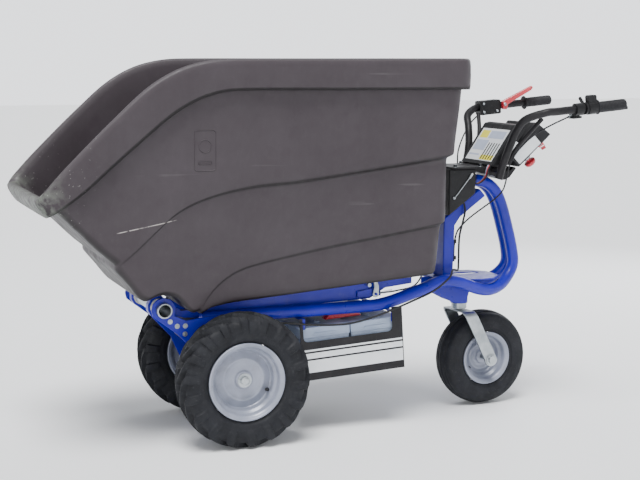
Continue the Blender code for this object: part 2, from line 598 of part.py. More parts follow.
def make_tub():
    """A thin-walled tub: hanging skirt, folded rim, terraced sides, and a floor with an arch for the tube."""
    skirt = RIM_HALF_WIDTH - TUB_WALL
    rings = [tub_ring(shifted(SKIRT_LINE, -TUB_WALL, TUB_WALL, 0), skirt, 0.288, 0.050, 0.040)]
    rings.append(tub_ring(shifted(RIM_LINE, -TUB_WALL, 0.006, 0.012), skirt, 0.288, 0.050, 0.040))
    rings.append(tub_ring(shifted(RIM_LINE, -0.010, 0.010, 0.008), skirt - 0.004, 0.284, 0.048, 0.038))
    rings.append(tub_ring(shifted(RIM_LINE, -0.019, 0.022, 0.008), 0.293, 0.276, 0.045, 0.036))
    rings.append(tub_ring(shifted(RIM_LINE, -0.023, 0.030, 0.013), 0.289, 0.272, 0.043, 0.034))
    rings.append(tub_ring(UPPER_LINE, 0.288, 0.268, 0.042, 0.030))
    rings.append(tub_ring(between(UPPER_LINE, MIDDLE_LINE, 0.55, None), 0.286, 0.262, 0.042, 0.030))
    rings.append(tub_ring(shifted(MIDDLE_LINE, 0.004, 0, -0.006), 0.280, 0.256, 0.042, 0.030))
    rings.append(tub_ring(shifted(MIDDLE_LINE, -0.014, 0, 0.006), 0.262, 0.252, 0.040, 0.030))
    fronts = [(-0.330, 0.492), (-0.306, 0.456), (-0.290, 0.443), (-0.274, 0.444), (-0.256, 0.456), (-0.222, 0.460)]
    fronts += [(-0.190, 0.449), (-0.168, 0.424), (-0.152, 0.404), (-0.136, 0.398)]
    start = shifted(MIDDLE_LINE, -0.014, 0, 0.006)
    finish = shifted(LOWER_LINE, 0.004, 0, -0.006)
    for number, front in enumerate(fronts, 1):
        share = number / (len(fronts) + 1)
        line = between(start, finish, share, front)
        rings.append(tub_ring(line, 0.262 - 0.006 * share, 0.250 - 0.032 * share, 0.040, 0.028 - 0.012 * share))
    rings.append(tub_ring(finish, 0.254, 0.217, 0.040, 0.016))
    rings.append(tub_ring(shifted(LOWER_LINE, -0.008, 0.008, 0.005), 0.243, 0.213, 0.038, 0.016))
    edge = [(0.634 - i * 0.0815, floor_z(0.634 - i * 0.0815) + 0.014) for i in range(9)] + [(-0.090, 0.4105)]
    rings.append(tub_ring(edge, 0.226, 0.206, 0.036, 0.016))
    bottom = [(0.618 - i * 0.0795, floor_z(0.618 - i * 0.0795)) for i in range(9)] + [(-0.075, 0.4120)]
    rings.append(tub_ring(bottom, 0.206, 0.192, 0.030, 0.014))
    size = len(rings[0])
    points = [point for ring in rings for point in ring]
    faces = []
    for k in range(len(rings) - 1):
        for i in range(size):
            j = (i + 1) % size
            faces.append((k * size + i, k * size + j, (k + 1) * size + j, (k + 1) * size + i))
    last = (len(rings) - 1) * size
    for i in range(size // 2 - 1):
        faces.append((last + i, last + i + 1, last + size - 2 - i, last + size - 1 - i))
    mesh = bpy.data.meshes.new("tub")
    mesh.from_pydata(points, [], faces)
    mesh.shade_smooth()
    mesh.set_sharp_from_angle(angle=math.radians(35))
    tub = adopt(bpy.data.objects.new("tub", mesh), "poly", "tub_pivot")
    skin = tub.modifiers.new("wall", "SOLIDIFY")
    skin.thickness = TUB_WALL
    skin.offset = -1
    skin.use_even_offset = True


def make_subframe():
    """The tipping frame under the tub: two bars that end in lugs round the tipping tube, and cross bars."""
    top = 0.0012
    inner = SUBFRAME_Y - SUBFRAME_HALF + 0.002
    cross_bars = []
    for number, x in enumerate((0.120, 0.560)):
        outline = [(x, floor_z(x) - 0.026), (x + 0.030, floor_z(x) - 0.0236)]
        outline += [(x + 0.030, floor_z(x + 0.030) - top), (x, floor_z(x) - top)]
        cross_bars.append(prism("tub_cross_%d" % number, outline, -inner, inner, "blue", "tub_pivot"))
    subframe = cross_bars[0]
    subframe.name = "tub_subframe"
    combine(subframe, cross_bars[1], "UNION")
    lug = [arc_point(PIVOT_X, PIVOT_Z, 0.034, a) for a in range(75, 331, 30)]
    for label, side in SIDES:
        outline = lug + [(-0.140, 0.371), (-0.080, 0.368), (0.020, 0.380), (0.200, 0.384), (0.450, 0.394)]
        outline += [(0.500, 0.424), (0.590, floor_z(0.590) - 0.032), (0.590, floor_z(0.590) - top)]
        outline += [(-0.050, floor_z(-0.050) - 0.0045), (-0.100, 0.3935), (-0.150, 0.3920), (-0.175, 0.408)]
        low, high = sorted((side * (SUBFRAME_Y - SUBFRAME_HALF), side * (SUBFRAME_Y + SUBFRAME_HALF)))
        combine(subframe, prism("tub_bar_" + label, outline, low, high, "blue", "tub_pivot"), "UNION")
        drill(subframe, (PIVOT_X, PIVOT_Z), 0.0262, low - 0.01, high + 0.01, 28)
        reach = SUBFRAME_HALF + 0.003
        bush = [(PIVOT_TUBE_RADIUS + GAP, -reach), (PIVOT_TUBE_RADIUS + GAP, reach), (0.0259, reach), (0.0259, -reach)]
        place = Matrix.Translation((PIVOT_X, side * SUBFRAME_Y, PIVOT_Z))
        turned("pivot_bush_" + label, bush, "nylon", "tub_pivot", 28, place, hollow=True, local=False)


# Latch and prop rod

def make_latch():
    """The hook on the frame that holds down the striker pin of the tub, released by the red lever."""
    outline = [(0.405, 0.400), (0.482, 0.402), (0.482, 0.416), (0.470, 0.424), (0.450, 0.424), (0.405, 0.418)]
    plate = prism("latch_bracket", outline, -0.1265, -0.1195, "blue")
    pin = rod("latch_pin", (LATCH_X, -0.122, LATCH_Z), (LATCH_X, -0.141, LATCH_Z), 0.004, "zinc")
    combine(plate, pin, "UNION")
    hook = [arc_point(LATCH_X, LATCH_Z, 0.011, a) for a in (200, 240, 280, 320, 0)]
    hook += [(0.472, 0.434), (0.466, 0.4500), (0.454, 0.4520), (0.4475, 0.4490), (0.4555, 0.4445), (0.457, 0.430)]
    piece = bevel(prism("latch_hook", hook, -0.1360, -0.1285, "zinc", "latch_pivot"), 0.0008, 1)
    drill(piece, (LATCH_X, LATCH_Z), 0.0043, -0.15, -0.12)
    outer = -(SUBFRAME_Y + SUBFRAME_HALF + GAP)
    rod("latch_striker", (STRIKER_X, -0.138, STRIKER_Z), (STRIKER_X, outer, STRIKER_Z), 0.006, "zinc", "tub_pivot")


def make_prop_rod():
    """The service prop: a thin rod with ball ends that swings down from under the tub."""
    start = Vector((PROP_X, PROP_Y, PROP_Z))
    end = Vector((0.036, PROP_Y, PROP_Z - 0.0245))
    length = (end - start).length
    profile = [(0.005, -0.0065), (0.008, -0.002), (0.008, 0.004), (0.004, 0.008), (0.004, length - 0.014)]
    profile += [(0.0065, length - 0.012), (0.0065, length - 0.002), (0.004, length)]
    turned("prop_rod", profile, "zinc", "prop_pivot", 12, along_line(start, end), local=False)


# Rear head, console and controls

def panel_frame(along, across):
    """A frame on the rear panel of the control box: its Y axis points out of the panel."""
    direction = (PANEL_HIGH - PANEL_LOW).normalized()
    spot = PANEL_LOW + direction * along
    out = Vector((direction.y, 0, -direction.x))
    return along_line((spot.x, across, spot.y), Vector((spot.x, across, spot.y)) + out)


def make_head():
    """Motor controller, its cover plate, the bracket on the hoop, the console and the control box."""
    case = [(0.735, 0.634), (0.828, 0.702), (0.828, 0.7812), (0.735, 0.7812)]
    bevel(prism("controller_box", case, -0.080, 0.080, "black"), 0.004)
    plate = block("controller_plate", (0.745, -0.085, 0.7815), (0.862, 0.085, 0.787), "zinc")
    for number, (x, y) in enumerate(((0.760, -0.070), (0.760, 0.070), (0.848, -0.070), (0.848, 0.070))):
        bolt = turned("plate_bolt_%d" % number, [(0.0065, 0.785), (0.0065, 0.794)], "zinc", "wheelbarrow", 6,
                      Matrix.Translation((x, y, 0)) @ UPRIGHT, local=False)
        combine(plate, bolt, "UNION")
    bracket = [(0.868, 0.765), (0.905, 0.752), (0.932, 0.742), (0.951, 0.750), (0.9735, 0.778), (0.9685, 0.7825)]
    bracket += [(0.944, 0.765), (0.922, 0.7915), (0.884, 0.7915)]
    saddle = prism("head_bracket", bracket, -0.075, 0.075, "powder")
    combine(saddle, rod("head_cross", (0.894, -0.1130, 0.776), (0.894, 0.1130, 0.776), 0.009, "powder"), "UNION")
    console = [(0.868, 0.792), (0.912, 0.792), (0.987, 0.905), (0.972, 0.921), (0.953, 0.917)]
    bevel(prism("console_box", console, -CONSOLE_HALF_WIDTH, CONSOLE_HALF_WIDTH, "black"), 0.003)
    box = [(0.938, 0.816), (PANEL_LOW.x, PANEL_LOW.y), (PANEL_HIGH.x, PANEL_HIGH.y), (1.034, 0.926)]
    bevel(prism("control_box", box, -0.100, 0.100, "black"), 0.004)


def make_panel_controls():
    """Key switch with its key, and the emergency stop with its mushroom button."""
    barrel = [(0.010, GAP), (0.010, 0.008), (0.008, 0.010)]
    turned("key_switch", barrel, "zinc", "key_line", 16)
    blade = prism("key", rounded_box(-0.005, -0.0012, 0.005, 0.0012, 0.0011, 2), 0.0104, 0.034, "red", "key_line", True)
    fob = prism("key_fob", rounded_box(-0.011, -0.0035, 0.011, 0.0035, 0.003, 2), 0.026, 0.060, "red", "key_line", True)
    combine(blade, fob, "UNION")
    collar = [(0.0085, GAP), (0.015, GAP), (0.015, 0.006), (0.0125, 0.008), (0.0125, 0.022), (0.0085, 0.022)]
    turned("estop_collar", collar, "black", "estop_line", 20, hollow=True)
    mushroom = [(0.0080, 0.0065), (0.0080, 0.030), (0.0185, 0.032), (0.0200, 0.037), (0.0170, 0.045), (0.009, 0.048)]
    turned("estop_button", mushroom, "red", "estop_line", 20)


def make_handlebars():
    """Two bent tubes with their braces and rubber grips."""
    tip = Matrix.Rotation(-BAR_TILT, 4, "Y") @ Vector((BAR_LENGTH, 0, 0))
    x, y, z = BAR_START
    straight = [(x + tip.x * t, y, z + tip.z * t) for t in (0, 0.14, 0.35, 0.6, 1)]
    stops = [(0.885, 0.126, 0.750), (0.897, 0.127, 0.790), (0.912, 0.141, 0.848), (0.922, 0.165, 0.900)]
    stops += [(0.936, 0.200, 0.939)] + straight
    brace = [(0.918, 0.1220, 0.796), (0.940, 0.132, 0.842), (0.964, 0.168, 0.892), (0.984, 0.2160, 0.9410)]
    for label, side in SIDES:
        tube("handlebar_" + label, mirrored(stops, side), BAR_RADIUS, "powder", 0.030, 10)
        tube("handle_brace_" + label, mirrored(brace, side), 0.007, "powder", 0.030, 8)
        bore = BAR_RADIUS + GAP
        grip = [(bore, GRIP_START), (0.023, GRIP_START), (0.023, GRIP_START + 0.004), (0.0165, GRIP_START + 0.007)]
        grip += [(GRIP_RADIUS, BAR_LENGTH - 0.002), (bore, BAR_LENGTH - 0.002)]
        turned("grip_" + label, grip, "rubber", "bar_" + label, 20, ALONG_X, hollow=True)


def make_bar_controls():
    """Throttle, brake lever and tub release on the two bar ends."""
    bore = BAR_RADIUS + GAP
    collar = [(bore, 0.148), (0.021, 0.148), (0.021, 0.180), (bore, 0.180)]
    throttle = turned("throttle_housing", collar, "black", "bar_near", 20, ALONG_X, hollow=True)
    pod = prism("throttle_pod", rounded_box(0.150, 0.016, 0.178, 0.040, 0.006), -0.012, 0.012, "black", "bar_near", True)
    combine(throttle, pod, "UNION")
    ring = [(bore, 0.139), (0.019, 0.139), (0.019, 0.147), (bore, 0.147)]
    lever = turned("throttle_lever", ring, "black", "throttle_line", 20, ALONG_X, hollow=True)
    paddle = block("throttle_paddle", (0.1395, 0.015, -0.004), (0.1465, 0.046, 0.004), "black", "throttle_line", True)
    paddle.data.transform(Matrix.Rotation(math.radians(45), 4, "X"))
    combine(lever, paddle, "UNION")
    clamp = [(bore, 0.104), (0.019, 0.104), (0.019, 0.130), (bore, 0.130)]
    perch = turned("brake_perch", clamp, "black", "bar_near", 20, ALONG_X, hollow=True)
    arm = block("perch_arm", (0.106, 0.010, -0.030), (0.134, 0.042, -0.0235), "black", "bar_near", True)
    combine(perch, arm, "UNION")
    hinge = block("perch_web", (0.106, 0.012, -0.026), (0.128, 0.022, -0.004), "black", "bar_near", True)
    combine(perch, hinge, "UNION")
    blade = [(-0.010, -0.006), (0.010, -0.010), (0.060, 0.006), (0.182, 0.010), (0.212, 0.017), (0.212, 0.025)]
    blade += [(0.179, 0.020), (0.056, 0.016), (0.006, 0.010), (-0.010, 0.010)]
    brake = prism("brake_lever", blade, -0.005, 0.005, "powder", "brake_pivot", True, "Z")
    bevel(brake, 0.0015, 1)
    case = rounded_box(0.006, -0.026, 0.084, 0.022, 0.006)
    housing = prism("release_housing", case, -0.020, 0.018, "black", "bar_far", True)
    passage = rod("housing_bore", (-0.03, 0, 0), (0.12, 0, 0), bore, "black", "bar_far", 20, True)
    combine(housing, passage, "DIFFERENCE")
    outline = [(-0.008, -0.016), (0.008, -0.018), (0.014, 0.000), (0.104, 0.038), (0.112, 0.046), (0.108, 0.053)]
    outline += [(0.099, 0.050), (0.004, 0.016), (-0.008, 0.010)]
    red = bevel(prism("release_lever", outline, -0.006, 0.006, "red", "release_pivot", True), 0.0015, 1)
    eye = rod("lever_eye", (0.1035, -0.02, 0.0455), (0.1035, 0.02, 0.0455), 0.0030, "red", "release_pivot", 12, True)
    combine(red, eye, "DIFFERENCE")


# Cables that the machine holds from end to end

def make_cables():
    """Motor cable under the near rail, brake cable and tub release cable."""
    motor = [(0.800, -0.050, 0.675), (0.806, -0.051, 0.645), (0.798, -0.052, 0.610), (0.786, -0.052, 0.560)]
    motor += [(0.782, -0.056, 0.480), (0.768, -0.080, 0.460), (0.735, -0.112, 0.466), (0.700, -0.160, 0.450)]
    motor += [(0.640, -0.178, 0.416), (0.561, -0.185, 0.388), (0.476, -0.187, 0.360), (0.410, -0.187, 0.342)]
    motor += [(0.344, -0.187, 0.332), (0.263, -0.187, 0.334), (0.190, -0.187, 0.342), (0.155, -0.177, 0.345)]
    motor += [(0.120, -0.165, 0.345), (0.070, -0.150, 0.335), (0.020, -0.126, 0.322), (-0.040, -0.1245, 0.3105)]
    tube("motor_cable", motor, 0.0032, "rubber", 0.019, 8)
    brake = [(1.086, -0.206, 0.9465), (1.055, -0.212, 0.936), (1.010, -0.215, 0.918), (0.968, -0.212, 0.896)]
    brake += [(0.938, -0.198, 0.868), (0.917, -0.180, 0.836), (0.903, -0.162, 0.795), (0.900, -0.150, 0.755)]
    brake += [(0.903, -0.122, 0.715), (0.893, -0.090, 0.685), (0.866, -0.062, 0.655), (0.832, -0.054, 0.630)]
    brake += [(0.806, -0.046, 0.606), (0.786, -0.034, 0.575), (0.7790, -0.030, 0.530), (0.7780, -0.030, 0.480)]
    tube("brake_cable", brake, 0.0025, "rubber", 0.014, 8)
    release = [(0.990, 0.236, 0.934), (0.960, 0.225, 0.910), (0.915, 0.190, 0.868), (0.872, 0.140, 0.820)]
    release += [(0.850, 0.100, 0.770), (0.836, 0.092, 0.720), (0.800, 0.088, 0.640), (0.750, 0.070, 0.560)]
    release += [(0.712, 0.050, 0.490), (0.680, 0.000, 0.440), (0.620, -0.070, 0.416), (0.540, -0.124, 0.414)]
    release += [(0.500, -0.1325, 0.412), (0.4765, -0.1325, 0.411)]
    tube("release_cable", release, 0.0025, "rubber", 0.015, 8)


def clear_scene():
    """Remove whatever the scene holds."""
    for piece in list(bpy.data.objects):
        bpy.data.objects.remove(piece, do_unlink=True)


clear_scene()
FRAMES = {}
PAINTS = make_paints()
make_frames()
make_drive_wheels()
make_caster()
make_chassis()
make_tub()
make_subframe()
make_latch()
make_prop_rod()
make_head()
make_panel_controls()
make_handlebars()
make_bar_controls()
make_cables()
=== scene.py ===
"""Looks of the power wheelbarrow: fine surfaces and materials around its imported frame.

Lengths are in metres. Inside this file X runs from the drive axle towards the handles, Y across the
machine (the near side is negative) and Z up. The function spot turns such a place into the frame's.
"""
import json
import math

import bmesh
import bpy
from mathutils import Matrix, Vector
from mathutils.bvhtree import BVHTree


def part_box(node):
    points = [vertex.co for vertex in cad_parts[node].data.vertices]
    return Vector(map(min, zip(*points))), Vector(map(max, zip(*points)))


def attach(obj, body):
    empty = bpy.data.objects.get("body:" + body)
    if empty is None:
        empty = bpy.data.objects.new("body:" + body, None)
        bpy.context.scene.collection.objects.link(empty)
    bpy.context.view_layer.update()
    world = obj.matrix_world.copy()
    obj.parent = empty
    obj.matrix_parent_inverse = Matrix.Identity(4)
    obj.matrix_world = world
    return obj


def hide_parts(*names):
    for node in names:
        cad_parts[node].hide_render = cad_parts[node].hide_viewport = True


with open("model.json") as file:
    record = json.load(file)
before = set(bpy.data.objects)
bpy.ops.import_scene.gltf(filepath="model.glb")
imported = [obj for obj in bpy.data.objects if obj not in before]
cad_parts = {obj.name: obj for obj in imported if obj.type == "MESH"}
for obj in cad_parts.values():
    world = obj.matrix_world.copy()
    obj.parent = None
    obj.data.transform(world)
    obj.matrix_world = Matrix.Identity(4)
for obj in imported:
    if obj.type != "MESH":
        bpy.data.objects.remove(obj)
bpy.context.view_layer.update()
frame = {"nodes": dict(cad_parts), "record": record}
NODES = frame["nodes"]

SIDES = (("near", -1), ("far", 1))
TAU = 2 * math.pi


def middle_of(node):
    """Middle of a CAD node's box."""
    low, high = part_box(node)
    return (low + high) / 2


AXLE = middle_of("tyre_near")
AXLE_X = AXLE.x
WHEEL_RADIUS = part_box("tyre_near")[1].z / 2
WHEEL_Y = abs(AXLE.y)
CASTER_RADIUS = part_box("caster_tyre")[1].z / 2
CASTER_YAW = math.radians(5)
CASTER_PIVOT_X = 0.813
CASTER_TRAIL = 0.083
DRIVE_BEAD, CASTER_BEAD = 0.1155, 0.0865
SHARP_ANGLE = 38

BAR_START = (0.985, 0.236, 0.961)
BAR_TILT = math.radians(5)
BAR_LENGTH = 0.286
TRAY_TILT = math.radians(3.4)
TRAY_CORNER = (0.206, 0.164)
PANEL_LOW, PANEL_HIGH = Vector((0.971, 0, 0.783)), Vector((1.085, 0, 0.886))
PRINT_THICKNESS = 0.0003


def spot(x, y, z):
    """A machine place in the frame's coordinates."""
    return Vector((x + AXLE_X, y, z))


# Materials

class Surface:
    """A material with the few node patterns that the machine's surfaces are made of."""

    def __init__(self, name, colour, roughness, metallic=0.0, **sockets):
        self.material = bpy.data.materials.new(name)
        self.material.use_nodes = True
        self.tree = self.material.node_tree
        self.shader = self.tree.nodes["Principled BSDF"]
        self.shader.inputs["Base Color"].default_value = (*colour, 1)
        self.shader.inputs["Roughness"].default_value = roughness
        self.shader.inputs["Metallic"].default_value = metallic
        for socket, value in sockets.items():
            self.shader.inputs[socket.replace("_", " ")].default_value = value
        self.material.diffuse_color = (*colour, 1)
        self.place = self.node("ShaderNodeTexCoord").outputs["Object"]

    def node(self, kind, **settings):
        """A node with its properties set."""
        made = self.tree.nodes.new(kind)
        for name, value in settings.items():
            setattr(made, name, value)
        return made

    def feed(self, socket, source):
        """Set a socket to a value, or link it to an output."""
        if isinstance(source, bpy.types.NodeSocket):
            self.tree.links.new(source, socket)
        else:
            socket.default_value = source

    def noise(self, scale, detail=4.0, stretch=(1, 1, 1), rough=0.55, turn=(0, 0, 0)):
        """Cloudy pattern from 0 to 1 with features about 1/scale metres wide."""
        mapping = self.node("ShaderNodeMapping")
        self.feed(mapping.inputs["Vector"], self.place)
        mapping.inputs["Scale"].default_value = stretch
        mapping.inputs["Rotation"].default_value = turn
        made = self.node("ShaderNodeTexNoise")
        self.feed(made.inputs["Vector"], mapping.outputs["Vector"])
        made.inputs["Scale"].default_value = scale
        made.inputs["Detail"].default_value = detail
        made.inputs["Roughness"].default_value = rough
        return made.outputs["Fac"]

    def grains(self, scale):
        """Distance to the middle of the nearest of many scattered cells."""
        made = self.node("ShaderNodeTexVoronoi")
        self.feed(made.inputs["Vector"], self.place)
        made.inputs["Scale"].default_value = scale
        return made.outputs["Distance"]

    def part(self, axis):
        """One coordinate of the surface point, in metres."""
        split = self.node("ShaderNodeSeparateXYZ")
        self.feed(split.inputs["Vector"], self.place)
        return split.outputs[axis]

    def lean(self):
        """How far the surface looks up, from -1 to 1, in the piece's own frame."""
        split = self.node("ShaderNodeSeparateXYZ")
        self.feed(split.inputs["Vector"], self.node("ShaderNodeTexCoord").outputs["Normal"])
        return split.outputs["Z"]

    def span(self, source, low, high, start=0.0, end=1.0):
        """A source remapped from low..high to start..end and held there."""
        made = self.node("ShaderNodeMapRange", clamp=True)
        self.feed(made.inputs["Value"], source)
        made.inputs["From Min"].default_value = low
        made.inputs["From Max"].default_value = high
        made.inputs["To Min"].default_value = start
        made.inputs["To Max"].default_value = end
        return made.outputs["Result"]

    def combine(self, operation, first, second=0.0):
        """Arithmetic on two sources."""
        made = self.node("ShaderNodeMath", operation=operation)
        self.feed(made.inputs[0], first)
        self.feed(made.inputs[1], second)
        return made.outputs["Value"]

    def times(self, first, second):
        """The product of two sources."""
        return self.combine("MULTIPLY", first, second)

    def along_x(self, start, end):
        """A share that grows from 0 at one machine X to 1 at another."""
        return self.span(self.part("X"), AXLE_X + start, AXLE_X + end)

    def mix(self, share, first, second):
        """One colour laid over another."""
        made = self.node("ShaderNodeMix", data_type="RGBA")
        self.feed(made.inputs["Factor"], share)
        for socket, colour in ((made.inputs[6], first), (made.inputs[7], second)):
            self.feed(socket, colour if isinstance(colour, bpy.types.NodeSocket) else (*colour, 1))
        return made.outputs[2]

    def set(self, socket, source):
        """Link a shader socket."""
        self.feed(self.shader.inputs[socket], source)

    def bump(self, height, distance, strength=1.0):
        """Relief of a given depth in metres, laid over any earlier relief."""
        made = self.node("ShaderNodeBump")
        made.inputs["Distance"].default_value = distance
        made.inputs["Strength"].default_value = strength
        self.feed(made.inputs["Height"], height)
        earlier = self.shader.inputs["Normal"].links
        if earlier:
            self.feed(made.inputs["Normal"], earlier[0].from_socket)
        self.feed(self.shader.inputs["Normal"], made.outputs["Normal"])


def painted(name, colour, dark, roughness, coat):
    """Gloss paint with orange peel, dust in soft patches, and small chips."""
    skin = Surface(name, colour, roughness, 0.0, Coat_Weight=coat, Coat_Roughness=0.12)
    cloud = skin.span(skin.noise(9, 5), 0.35, 0.7)
    tone = skin.mix(cloud, colour, dark)
    dust = skin.times(skin.span(skin.noise(30, 8), 0.58, 0.8), 0.18)
    tone = skin.mix(dust, tone, (0.12, 0.12, 0.16))
    spots = skin.span(skin.noise(170, 3), 0.715, 0.735)
    chips = skin.times(spots, skin.span(skin.noise(14, 2), 0.52, 0.6))
    tone = skin.mix(chips, tone, (0.12, 0.1, 0.1))
    skin.set("Base Color", tone)
    skin.set("Roughness", skin.span(skin.noise(40, 6), 0.3, 0.75, roughness - 0.06, roughness + 0.18))
    skin.bump(skin.noise(420, 2), 0.00006)
    skin.bump(chips, 0.0001, 0.6)
    return skin.material


def make_tub_skin():
    """Moulded polyethylene: dusty, cloudy and pitted, with drag marks, a scratch and a scraped lip, and
    painted light: a painted highlight on faces that look up and painted shade on faces that look down.
    """
    base, pale, deep = (0.034, 0.026, 0.031), (0.046, 0.037, 0.043), (0.022, 0.0165, 0.0195)
    skin = Surface("tub_polyethylene", base, 0.5, Specular_IOR_Level=0.34)
    cloud = skin.span(skin.noise(3.2, 6), 0.32, 0.7)
    tone = skin.mix(cloud, base, pale)
    runs = skin.span(skin.noise(7, 7, (1.2, 1.2, 0.16)), 0.5, 0.76)
    tone = skin.mix(skin.times(runs, 0.25), tone, deep)
    dust = skin.span(skin.noise(60, 9, (1, 1, 0.6), 0.7), 0.5, 0.8)
    tone = skin.mix(skin.times(dust, 0.12), tone, (0.09, 0.08, 0.085))
    marks = None
    for turn, size, gate in ((0.5, 30, 0.7), (-0.25, 42, 0.72), (1.2, 36, 0.735)):
        lines = skin.noise(size, 2, (0.035, 1, 1), 0.5, (0, turn, 0))
        lines = skin.span(lines, gate, gate + 0.02)
        lines = skin.times(lines, skin.span(skin.noise(6.5, 2), 0.5, 0.62))
        marks = lines if marks is None else skin.combine("MAXIMUM", marks, lines)
    tone = skin.mix(skin.times(marks, 0.2), tone, (0.15, 0.145, 0.145))
    lean = skin.lean()
    # Painted highlight: faces that look up are mixed towards a paler grey.
    tone = skin.mix(skin.times(skin.span(lean, 0.12, 0.7), 0.55), tone, (0.085, 0.076, 0.082))
    # Painted shade: faces that look down, under the terrace ledges, are mixed towards near black.
    tone = skin.mix(skin.times(skin.span(lean, -0.22, -0.55), 0.85), tone, (0.007, 0.005, 0.006))
    slope, height = 0.172, 0.7108
    level = skin.combine("SUBTRACT", skin.part("Z"), skin.times(skin.part("X"), slope))
    level = skin.combine("ABSOLUTE", skin.combine("SUBTRACT", level, height - slope * AXLE_X))
    scratch = skin.times(skin.span(level, 0.0016, 0.0007), skin.span(skin.part("Y"), -0.1, -0.15))
    scratch = skin.times(skin.times(scratch, skin.along_x(-0.372, -0.36)), skin.along_x(-0.195, -0.215))
    scratch = skin.times(scratch, skin.span(skin.noise(55, 3), 0.36, 0.5))
    tone = skin.mix(scratch, tone, (0.42, 0.39, 0.37))
    lip = skin.times(skin.along_x(-0.5, -0.61), skin.span(skin.part("Z"), 0.86, 0.74))
    scrape = skin.times(lip, skin.span(skin.noise(75, 8, (0.5, 1, 0.5)), 0.4, 0.62))
    tone = skin.mix(scrape, tone, (0.17, 0.19, 0.16))
    white = skin.times(skin.along_x(-0.4, -0.58), skin.span(skin.noise(120, 4), 0.66, 0.7))
    tone = skin.mix(skin.times(white, 0.6), tone, (0.34, 0.34, 0.32))
    skin.set("Base Color", tone)
    skin.set("Roughness", skin.span(skin.noise(25, 7), 0.3, 0.72, 0.4, 0.66))
    skin.bump(skin.noise(520, 3), 0.0001)
    skin.bump(skin.noise(38, 3), 0.0007, 0.35)
    skin.bump(skin.span(skin.grains(240), 0.0, 0.16), 0.0002, 0.5)
    skin.bump(marks, 0.0002, 0.5)
    return skin.material


def make_rim_paint():
    """Silver grey enamel with a fine sparkle and dirt."""
    colour = (0.4, 0.42, 0.5)
    skin = Surface("silver_paint", colour, 0.34, 0.15, Coat_Weight=0.35, Coat_Roughness=0.15)
    dirt = skin.span(skin.noise(45, 7), 0.52, 0.8)
    tone = skin.mix(skin.span(skin.noise(12, 4), 0.35, 0.7), (0.32, 0.34, 0.42), (0.21, 0.23, 0.29))
    tone = skin.mix(skin.times(dirt, 0.55), tone, (0.2, 0.2, 0.22))
    skin.set("Base Color", tone)
    skin.set("Roughness", skin.span(skin.noise(60, 5), 0.3, 0.7, 0.28, 0.5))
    skin.bump(skin.noise(700, 2), 0.00005)
    return skin.material


def rubber(name, colour, dusty, roughness, dust_share):
    """Rubber with dust lying in clouds and a fine grain."""
    skin = Surface(name, colour, roughness)
    tone = skin.mix(skin.span(skin.noise(18, 7), 0.36, 0.72), colour, dusty)
    specks = skin.span(skin.noise(160, 8, rough=0.7), 0.56, 0.8)
    tone = skin.mix(skin.times(specks, dust_share), tone, (0.26, 0.26, 0.28))
    skin.set("Base Color", tone)
    skin.set("Roughness", skin.span(skin.noise(35, 6), 0.3, 0.7, roughness - 0.14, roughness + 0.1))
    skin.bump(skin.noise(900, 3), 0.00012)
    skin.bump(skin.noise(110, 5), 0.0004, 0.4)
    return skin.material


def plated(name, colour, dark, roughness, grain):
    """Bare or plated metal: brushed along X, spotted and slightly dull."""
    skin = Surface(name, colour, roughness, 1.0)
    tone = skin.mix(skin.span(skin.noise(22, 6), 0.35, 0.7), colour, dark)
    stain = skin.span(skin.noise(90, 7), 0.58, 0.78)
    tone = skin.mix(skin.times(stain, 0.45), tone, (0.3, 0.28, 0.25))
    skin.set("Base Color", tone)
    lines = skin.noise(260, 4, (0.1, 1, grain))
    skin.set("Roughness", skin.span(lines, 0.3, 0.7, roughness - 0.08, roughness + 0.16))
    skin.bump(lines, 0.00005)
    skin.bump(skin.noise(60, 4), 0.0004, 0.2)
    return skin.material


def plastic(name, colour, pale, roughness, grain_depth=0.00008, coat=0.0):
    """Moulded plastic with a leather-fine grain, rubbed patches and a little dust."""
    skin = Surface(name, colour, roughness, 0.0, Coat_Weight=coat, Coat_Roughness=0.1)
    tone = skin.mix(skin.span(skin.noise(16, 5), 0.4, 0.75), colour, pale)
    specks = skin.span(skin.noise(240, 7, rough=0.7), 0.6, 0.8)
    tone = skin.mix(skin.times(specks, 0.22), tone, (0.35, 0.35, 0.36))
    skin.set("Base Color", tone)
    skin.set("Roughness", skin.span(skin.noise(50, 5), 0.3, 0.7, roughness - 0.07, roughness + 0.12))
    skin.bump(skin.noise(850, 2), grain_depth)
    return skin.material


# Name, colour, second colour, roughness, and for some plastics the depth of grain and the coat.
PLASTICS = (
    ("black_plastic", (0.007, 0.007, 0.008), (0.015, 0.015, 0.017), 0.46),
    ("black_powder_coat", (0.008, 0.0075, 0.009), (0.016, 0.015, 0.017), 0.46, 0.00012),
    ("battery_case", (0.27, 0.33, 0.45), (0.34, 0.41, 0.53), 0.42),
    ("red_plastic", (0.55, 0.016, 0.03), (0.66, 0.04, 0.06), 0.28, 0.00003, 0.4),
    ("bush_nylon", (0.55, 0.54, 0.48), (0.62, 0.61, 0.56), 0.5),
    ("label_white", (0.74, 0.76, 0.78), (0.66, 0.69, 0.72), 0.35, 0.00002, 0.3),
    ("label_yellow", (0.83, 0.74, 0.05), (0.72, 0.64, 0.05), 0.35, 0.00002, 0.3),
    ("label_grey", (0.42, 0.47, 0.6), (0.36, 0.41, 0.53), 0.35, 0.00002, 0.3),
    ("pale_red", (0.72, 0.1, 0.12), (0.8, 0.18, 0.19), 0.35, 0.00003, 0.3),
)
